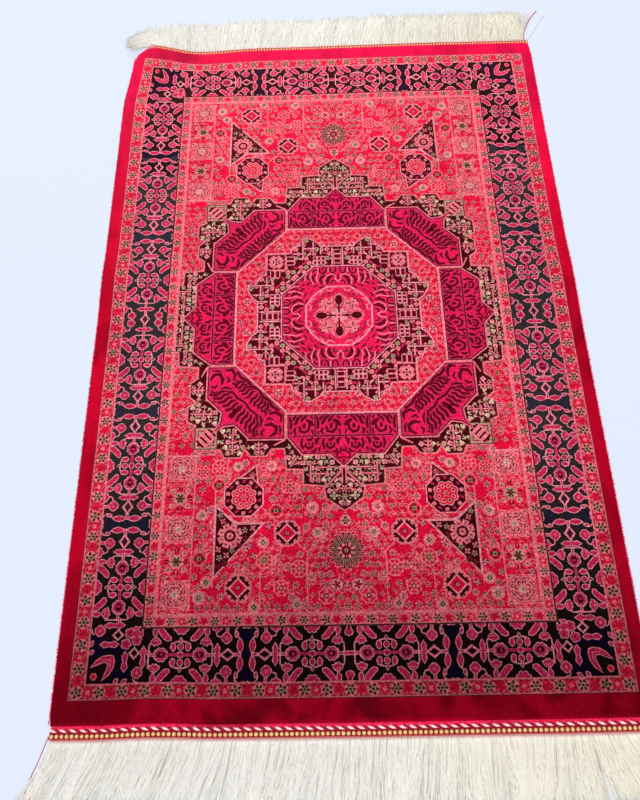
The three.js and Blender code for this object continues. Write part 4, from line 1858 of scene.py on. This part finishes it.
def knot_masks(tree):
    """Where the knots of a floret or of a sown ground show its figure and its second yarn."""
    knots = attribute(tree, "knots", "Vector")
    fuzz = vectors(tree, "SUBTRACT", noise(tree, 700, detail=1, output="Color"), (0.5, 0.5, 0.5))
    fuzz = vectors(tree, "MULTIPLY", fuzz, (0.3, 0.3, 0))
    split = add(tree, "ShaderNodeSeparateXYZ", {0: vectors(tree, "ADD", knots, fuzz)})
    u, v, petals = [Worked(tree, split.outputs[i]) for i in range(3)]
    reach = (u * u + v * v).of("SQRT")
    steps = abs(u) + abs(v)
    ring = (reach > 0.22) * (reach < 0.4)
    wave = (v.of("ARCTAN2", u) * petals).of("COSINE")
    flower = (reach < wave * 0.26 + 0.68) * ring.without()
    rhomb = (steps < 0.3) + (steps > 0.6) * (steps < 0.86)
    between = (steps > 0.3) * (steps < 0.6)

    row = v.of("FLOOR")
    slid = u + row.of("FLOORED_MODULO", 2) * 0.5
    cell = add(tree, "ShaderNodeCombineXYZ", {0: slid.of("FLOOR"), 1: row}).outputs[0]
    chance = Worked(tree, add(tree, "ShaderNodeTexWhiteNoise", {"Vector": cell}).outputs["Value"])
    a, b = slid.of("FRACT") - 0.5, v.of("FRACT") - 0.5
    away = (a * a + b * b).of("SQRT")
    count = (chance * 2.9 + 4).of("FLOOR")
    wave = (b.of("ARCTAN2", a) * count + chance * 6).of("COSINE")
    heart = (away < 0.11) * (chance > 0.25)
    vines = (abs(b - (a * 6.283).of("SINE") * 0.24) < 0.055).of(
        "MAXIMUM", abs(a - (b * 6.283).of("SINE") * 0.26) < 0.045
    )
    sown_figure = (away < wave * 0.1 + 0.23).of("MAXIMUM", vines * (away > 0.33)) * heart.without()
    sown_second = heart.of("MAXIMUM", away > 0.585)

    is_flower = petals > 0.5
    is_sown = (petals < -1.5) * (petals > -2.5)
    is_plain = (petals < -0.5) * is_sown.without()
    figure = (flower * is_flower + rhomb * is_flower.without()) * is_sown.without() + sown_figure * is_sown
    second = (ring * is_flower + between * is_flower.without()) * is_sown.without() + sown_second * is_sown
    return is_plain.of("MAXIMUM", figure), second, petals < -2.5


def within(tree, value, low, high, soft):
    """One between low and high, falling away to nothing over soft on either side."""
    risen = ranged(tree, value, low - soft, low, 0, 1)
    return risen * ranged(tree, value, high, high + soft, 1, 0)


def painted_nap_light(tree, band):
    """How light the pile reads, how pink and how hazed, all painted light: painted shade makes it darker
    towards the near end and painted sheen lighter towards the far end, where the plain band is painted
    pinker and the rest takes a painted sheen haze. On the plain band, patches of painted sheen and shade
    stand for pile that lies this way and that."""
    across, true_along = place_along(tree, 0), place_along(tree, 1)
    drift = noise(tree, 5, (1, 0.6, 1))
    along = sums(tree, "ADD", true_along, ranged(tree, drift, 0.3, 0.7, -0.05, 0.05))
    # Painted shade and sheen: the pile is darker towards the near end and lighter towards the far end.
    lie = ranged(tree, along, -0.66, -0.16, 0.31, 0.86, "SMOOTHSTEP")
    beyond = ranged(tree, along, 0.1, 0.62, 0, 1)
    lie = beyond * beyond * 0.3 + lie
    # Painted light on the plain band: a little lighter at the near end, darker through the middle and
    # lighter towards the far end.
    aside = ranged(tree, along, -0.5, -0.15, 1.07, 0.9)
    aside += ranged(tree, along, 0.06, 0.24, 0, 0.34, "SMOOTHSTEP")
    # Painted light on the plain band: painted shade towards the right at the near end, a lighter and a
    # darker painted patch further along, and a painted shadow under the turned corner at the far left.
    brushed = ranged(tree, true_along, -0.56, -0.44, 1, 0.45)
    turned = ranged(tree, across, -0.3, 0.4, 0, -0.36) * brushed
    painted_lighter_patch = ranged(tree, across, -0.1, 0.35, 0, 0.46)
    painted_darker_patch = ranged(tree, across, -0.35, -0.2, -0.22, 0)
    turned = within(tree, true_along, 0.1, 0.36, 0.08) * painted_lighter_patch + turned
    turned = within(tree, true_along, 0.34, 0.44, 0.06) * painted_darker_patch + turned
    painted_corner_shadow = within(tree, across, -0.35, -0.28, 0.03) * within(tree, true_along, 0.575, 0.6, 0.012)
    turned = painted_corner_shadow * -0.42 + turned
    # Painted highlight: patches of sheen along the near edge.
    painted_sheen_patches = ranged(tree, noise(tree, 7), 0.38, 0.6, 0, 1.8)
    edge = ranged(tree, true_along, -0.612, -0.6, 1, 0, "SMOOTHSTEP")
    # Patches and fine streaks of painted sheen and shade, where the pile lies this way and that; strongest
    # at the near end.
    fine = ranged(tree, noise(tree, 95, (1, 0.3, 1), 3), 0.32, 0.68, -0.07, 0.07)
    patch = noise(tree, 13, (1, 0.7, 1), 3, distortion=0.8)
    patch = ranged(tree, patch, 0.38, 0.62, -0.38, 0.38, "SMOOTHSTEP")
    patch = patch * brushed + aside + turned + painted_sheen_patches * edge + fine
    # Painted sheen haze over the far pattern, off the plain band.
    painted_sheen_haze = beyond * 0.06 * band.without()
    # Gives the painted light on the pile, the painted pink sheen of the far plain band, and the painted
    # sheen haze.
    return ((patch - 1) * band + 1) * lie, beyond * band * 0.8, painted_sheen_haze


def build_pile(tree, shader):
    figure, second, band = knot_masks(tree)
    colour = blended(tree, second, attribute(tree, "ground", "Color"), attribute(tree, "second", "Color"))
    colour = blended(tree, figure, colour, attribute(tree, "figure", "Color"))
    tufts = add(tree, "ShaderNodeTexVoronoi", {"Vector": stretched(tree, (1, 1, 0.3)), "Scale": 760})
    tuft = tufts.outputs["Distance"]
    grain = noise(tree, 420, (1, 1, 0.3))
    streak = noise(tree, 22, (1, 0.35, 1), 3)
    shade = ranged(tree, tuft, 0, 0.75, 1.14, 0.74)
    shade = sums(tree, "MULTIPLY", shade, ranged(tree, grain, 0.35, 0.65, 0.7, 1.3))
    shade = sums(tree, "MULTIPLY", shade, ranged(tree, streak, 0.3, 0.7, 0.88, 1.12))
    mottle = ranged(tree, noise(tree, 300), 0.35, 0.65, -0.26, 0.28)
    shade = sums(tree, "MULTIPLY", shade, mottle * band.without() + 1)
    calm = band * -0.6 + 1
    shade = (shade - 1) * calm + 1
    # Painted light: shade and sheen over the pile, a painted sheen haze towards the far end, and a painted
    # pink sheen on the far plain band.
    lie, painted_pink_sheen, painted_sheen_haze = painted_nap_light(tree, band)
    colour = blended(tree, painted_sheen_haze, colour, (0.45, 0.03, 0.036, 1))
    parts = add(tree, "ShaderNodeSeparateColor", {0: colour})
    red, green = [Worked(tree, parts.outputs[i]) for i in range(2)]
    # Painted sheen: from just past the near end onwards, dark yarns that are not red are lifted with grey.
    painted_dark_sheen = ranged(tree, place_along(tree, 1), -0.5, -0.2, 0, 1)
    painted_dark_sheen = painted_dark_sheen * (red < 0.03) * (green * 4 > red)
    colour = blended(tree, painted_dark_sheen, colour, (0.024, 0.021, 0.023, 1), "ADD")
    # Painted pink sheen on the far plain band.
    colour = blended(tree, painted_pink_sheen, colour, (0.56, 0.003, 0.05, 1))
    height = sums(tree, "MULTIPLY_ADD", grain, 0.6, sums(tree, "SUBTRACT", 0.6, tuft))
    give(tree, shader, {
        "Base Color": shaded(tree, colour, shade * lie),
        "Roughness": 0.62,
        "Specular IOR Level": 0.03,
        "Specular Tint": (1, 0.12, 0.25, 1),
        "Sheen Weight": 0.15,
        "Sheen Roughness": 0.32,
        "Sheen Tint": (1, 0.15, 0.4, 1),
        "Normal": bumped(tree, calm * height, 0.0006, 0.7),
    })


def build_tufts(tree, shader):
    # Painted sheen: the cut ends go from dark to bright red in patches, each end at random.
    painted_sheen_patches = ranged(tree, noise(tree, 7), 0.34, 0.58, 0.55, 1.5) * attribute(tree, "strand")
    colour = blended(tree, painted_sheen_patches, (0.34, 0.001, 0.012, 1), (1, 0.02, 0.12, 1))
    # Painted sheen: the cut ends are brighter towards the far end.
    away = ranged(tree, place_along(tree, 1), -0.2, 0.6, 0, 0.4)
    colour = blended(tree, away, colour, (0.95, 0.03, 0.1, 1))
    # The cut ends are painted with a glow of their own.
    give(tree, shader, {
        "Base Color": colour,
        "Emission Color": colour,
        "Emission Strength": 0.22,
        "Roughness": 0.6,
        "Specular IOR Level": 0.15,
        "Sheen Weight": 0.2,
        "Sheen Tint": (1, 0.2, 0.4, 1),
    })


def threads_across(tree, scale, direction):
    """The rows of the backing's warp or weft."""
    sockets = {"Vector": stretched(tree), "Scale": scale, "Distortion": 0.6}
    node = add(tree, "ShaderNodeTexWave", sockets, wave_type="BANDS", bands_direction=direction)
    return node.outputs["Fac"]


def build_backing(tree, shader):
    weave = sums(tree, "MULTIPLY", threads_across(tree, 170, "X"), threads_across(tree, 120, "Y"))
    patch = ranged(tree, noise(tree, 60), 0.35, 0.65, 0, 0.4)
    colour = blended(tree, weave, (0.25, 0.06, 0.07, 1), (0.62, 0.4, 0.34, 1))
    colour = blended(tree, patch, colour, (0.42, 0.05, 0.08, 1))
    give(tree, shader, {"Base Color": colour, "Roughness": 0.85, "Normal": bumped(tree, weave, 0.0005)})


# What a spun yarn's shade runs between, on the lines of its fibres and in its fuzz.
shade_limits = ("Line Dark", "Line Light", "Fuzz Dark", "Fuzz Light")
three_plies = 2 * pi * 3


def spun_yarn_group():
    """What every yarn shares: the slanting lines of its fibres, its fuzz, and the shade of both."""
    group = bpy.data.node_groups.get("spun yarn")
    if group:
        return group
    group = bpy.data.node_groups.new("spun yarn", "ShaderNodeTree")
    for name in ("Slant", "Round", "Fuzz Scale", *shade_limits):
        group.interface.new_socket(name, in_out="INPUT", socket_type="NodeSocketFloat")
    for name in ("Lines", "Fuzz", "Shade"):
        group.interface.new_socket(name, in_out="OUTPUT", socket_type="NodeSocketFloat")
    given = add(group, "NodeGroupInput").outputs
    turned = sums(group, "MULTIPLY", attribute(group, "round_it"), given["Round"])
    slanting = sums(group, "MULTIPLY_ADD", attribute(group, "along"), given["Slant"], turned)
    lines = slanting.of("SINE")
    fuzz = noise(group, given["Fuzz Scale"])
    shade = sums(
        group, "MULTIPLY", ranged(group, lines, -1, 1, given["Line Dark"], given["Line Light"]),
        ranged(group, fuzz, 0.3, 0.7, given["Fuzz Dark"], given["Fuzz Light"]),
    )
    add(group, "NodeGroupOutput", {"Lines": lines, "Fuzz": fuzz, "Shade": shade})
    return group


def spun_yarn(tree, slant, round_turns=0, fuzz_scale=900, shades=(1, 1, 1, 1)):
    """The spun yarn group placed in a material: its lines, its fuzz and its shade."""
    sockets = {"Slant": slant, "Round": round_turns, "Fuzz Scale": fuzz_scale}
    sockets.update(zip(shade_limits, shades))
    outputs = add(tree, "ShaderNodeGroup", sockets, node_tree=spun_yarn_group()).outputs
    return outputs["Lines"], outputs["Fuzz"], outputs["Shade"]


def build_ply(tree, shader):
    white = sums(tree, "LESS_THAN", attribute(tree, "strand"), 0.5)
    lines, _, shade = spun_yarn(tree, 260 * three_plies, three_plies, shades=(0.84, 1.06, 0.85, 1.12))
    colour = blended(tree, white, (0.46, 0.001, 0.024, 1), (1, 0.78, 0.8, 1))
    # The white ply is painted with a glow of its own, standing in for light that the pile's edge shades
    # from it.
    give(tree, shader, {
        "Base Color": shaded(tree, colour, shade),
        "Emission Color": blended(tree, white, (0, 0, 0, 1), (1, 0.8, 0.82, 1)),
        "Emission Strength": 0.25,
        "Roughness": 0.6,
        "Specular IOR Level": 0.2,
        "Normal": bumped(tree, lines, 0.0002),
    })


def build_braid(tree, shader):
    kind = attribute(tree, "strand")
    lines, _, shade = spun_yarn(tree, 6500, shades=(0.86, 1.05, 0.82, 1.14))
    gold = sums(tree, "COMPARE", kind, 1, 0.4)
    outer = sums(tree, "GREATER_THAN", kind, 2.5)
    colour = blended(tree, gold, (0.26, 0.01, 0.01, 1), (1, 0.6, 0.27, 1))
    colour = shaded(tree, blended(tree, outer, colour, (0.72, 0.1, 0.11, 1)), shade)
    # The braid is painted with a faint glow of its own.
    give(tree, shader, {
        "Base Color": colour,
        "Emission Color": colour,
        "Emission Strength": 0.1,
        "Roughness": 0.45,
        "Specular IOR Level": 0.3,
        "Normal": bumped(tree, lines, 0.00015),
    })


def build_fringe(tree, shader):
    twist, fuzz, _ = spun_yarn(tree, 5200, fuzz_scale=500)
    # Painted shade: strands lying deeper in the fringe, and the under strands, are painted greyer, some at
    # random.
    strand = ranged(tree, attribute(tree, "strand"), 0.06, 0.5, 0, 1)
    colour = blended(tree, strand, (0.46, 0.44, 0.37, 1), (0.98, 0.965, 0.91, 1))
    colour = blended(tree, ranged(tree, fuzz, 0.3, 0.7, 0, 0.2), colour, (0.8, 0.78, 0.7, 1))
    warm = ranged(tree, place_along(tree, 0), -0.05, 0.38, 0, 0.75)
    colour = blended(tree, warm, colour, (1, 0.93, 0.8, 1), "MULTIPLY")
    # Painted shade: the fringe is darker towards the far end.
    away = ranged(tree, place_along(tree, 1), 0, 0.6, 0, 0.8)
    colour = blended(tree, away, colour, (0.82, 0.82, 0.8, 1), "MULTIPLY")
    root = ranged(tree, attribute(tree, "along"), 0.0015, 0.006, 0.75, 0)
    # The fringe is painted with a faint glow of its own.
    give(tree, shader, {
        "Base Color": blended(tree, root, colour, (1, 0.42, 0.42, 1)),
        "Emission Color": (1, 0.98, 0.93, 1),
        "Emission Strength": 0.04,
        "Roughness": 0.34,
        "Specular IOR Level": 0.55,
        "Sheen Weight": 0.25,
        "Normal": bumped(tree, twist, 0.00012),
    })


def loose_yarn(tree, shader, between, roughness, dark, light):
    lines, fuzz, _ = spun_yarn(tree, 300 * three_plies, three_plies)
    give(tree, shader, {
        "Base Color": blended(tree, ranged(tree, fuzz, *between, 0, 1), dark, light),
        "Roughness": roughness,
        "Normal": bumped(tree, lines, 0.0002),
    })


def build_red_thread(tree, shader):
    loose_yarn(tree, shader, (0.3, 0.7), 0.6, (0.52, 0.06, 0.05, 1), (0.78, 0.2, 0.15, 1))


def build_cream_thread(tree, shader):
    loose_yarn(tree, shader, (0, 1), 0.45, (0.66, 0.6, 0.48, 1), (0.9, 0.87, 0.79, 1))


def build_floor(tree, shader):
    give(tree, shader, {
        "Base Color": (0.12, 0.13, 0.15, 1),
        "Roughness": 1,
        "Specular IOR Level": 0,
        "Emission Color": (0.635, 0.69, 0.81, 1),
        "Emission Strength": 1,
    })


# All of it.
# ----------------------------------------
draw_chart()
pile = make_pile()
tufts = make_edge_tufts()
cord_piece = make_plied_cord()
near_braid = make_braid("near_beaded_braid_sewn", "near_beaded_braid", near_braid_y, -1, 0.00675, 0)
far_braid = make_braid("far_beaded_braid_sewn", "far_beaded_braid", far_braid_y, 1, 0.0056, 0.35)
near_fringe = make_fringe(
    "near_fringe_strands", "near_fringe", near_fringe_rows, near_bar_y, -1, 0.0008, 0.35, 3
)
far_fringe = make_fringe(
    "far_fringe_strands", "far_fringe", far_fringe_rows, far_bar_y, 1, 0.0022, 0.1, 4
)
cream_thread = finished("loose cream yarn", build_cream_thread)
red_thread = finished("loose red yarn", build_red_thread)
for name, piece in thread_pieces.items():
    piece.data.materials.append(cream_thread if "cream" in name else red_thread)


def make_floor():
    reach = 6
    corners = [(-reach, -reach, 0), (reach, -reach, 0), (reach, reach, 0), (-reach, reach, 0)]
    piece = make_piece("pale_floor", corners, [[0, 1, 2, 3]])
    piece.data.materials.append(finished("pale floor", build_floor))
    return piece


floor = make_floor()


def add_light(name, place, aim, size, energy, colour):
    data = bpy.data.lights.new(name, "AREA")
    data.shape = "RECTANGLE"
    data.size, data.size_y = size
    data.energy = energy
    data.color = colour
    light = bpy.data.objects.new(name, data)
    scene.collection.objects.link(light)
    run = Vector(aim) - Vector(place)
    light.matrix_world = Matrix.Translation(place) @ run.to_track_quat("-Z", "Y").to_matrix().to_4x4()


add_light("window light", (-0.6, 2.6, 1.5), (0, 0.2, 0), (2.4, 1.4), 82, (1, 0.98, 0.97))
add_light("ceiling light", (-0.3, -0.8, 2.8), (0, -0.2, 0), (3, 3), 72, (1, 0.99, 0.98))
world = bpy.data.worlds.new("soft room")
scene.world = world
world.use_nodes = True
world.node_tree.nodes["Background"].inputs["Color"].default_value = (0.93, 0.96, 1, 1)
world.node_tree.nodes["Background"].inputs["Strength"].default_value = 0.35
scene.view_settings.view_transform = "Standard"
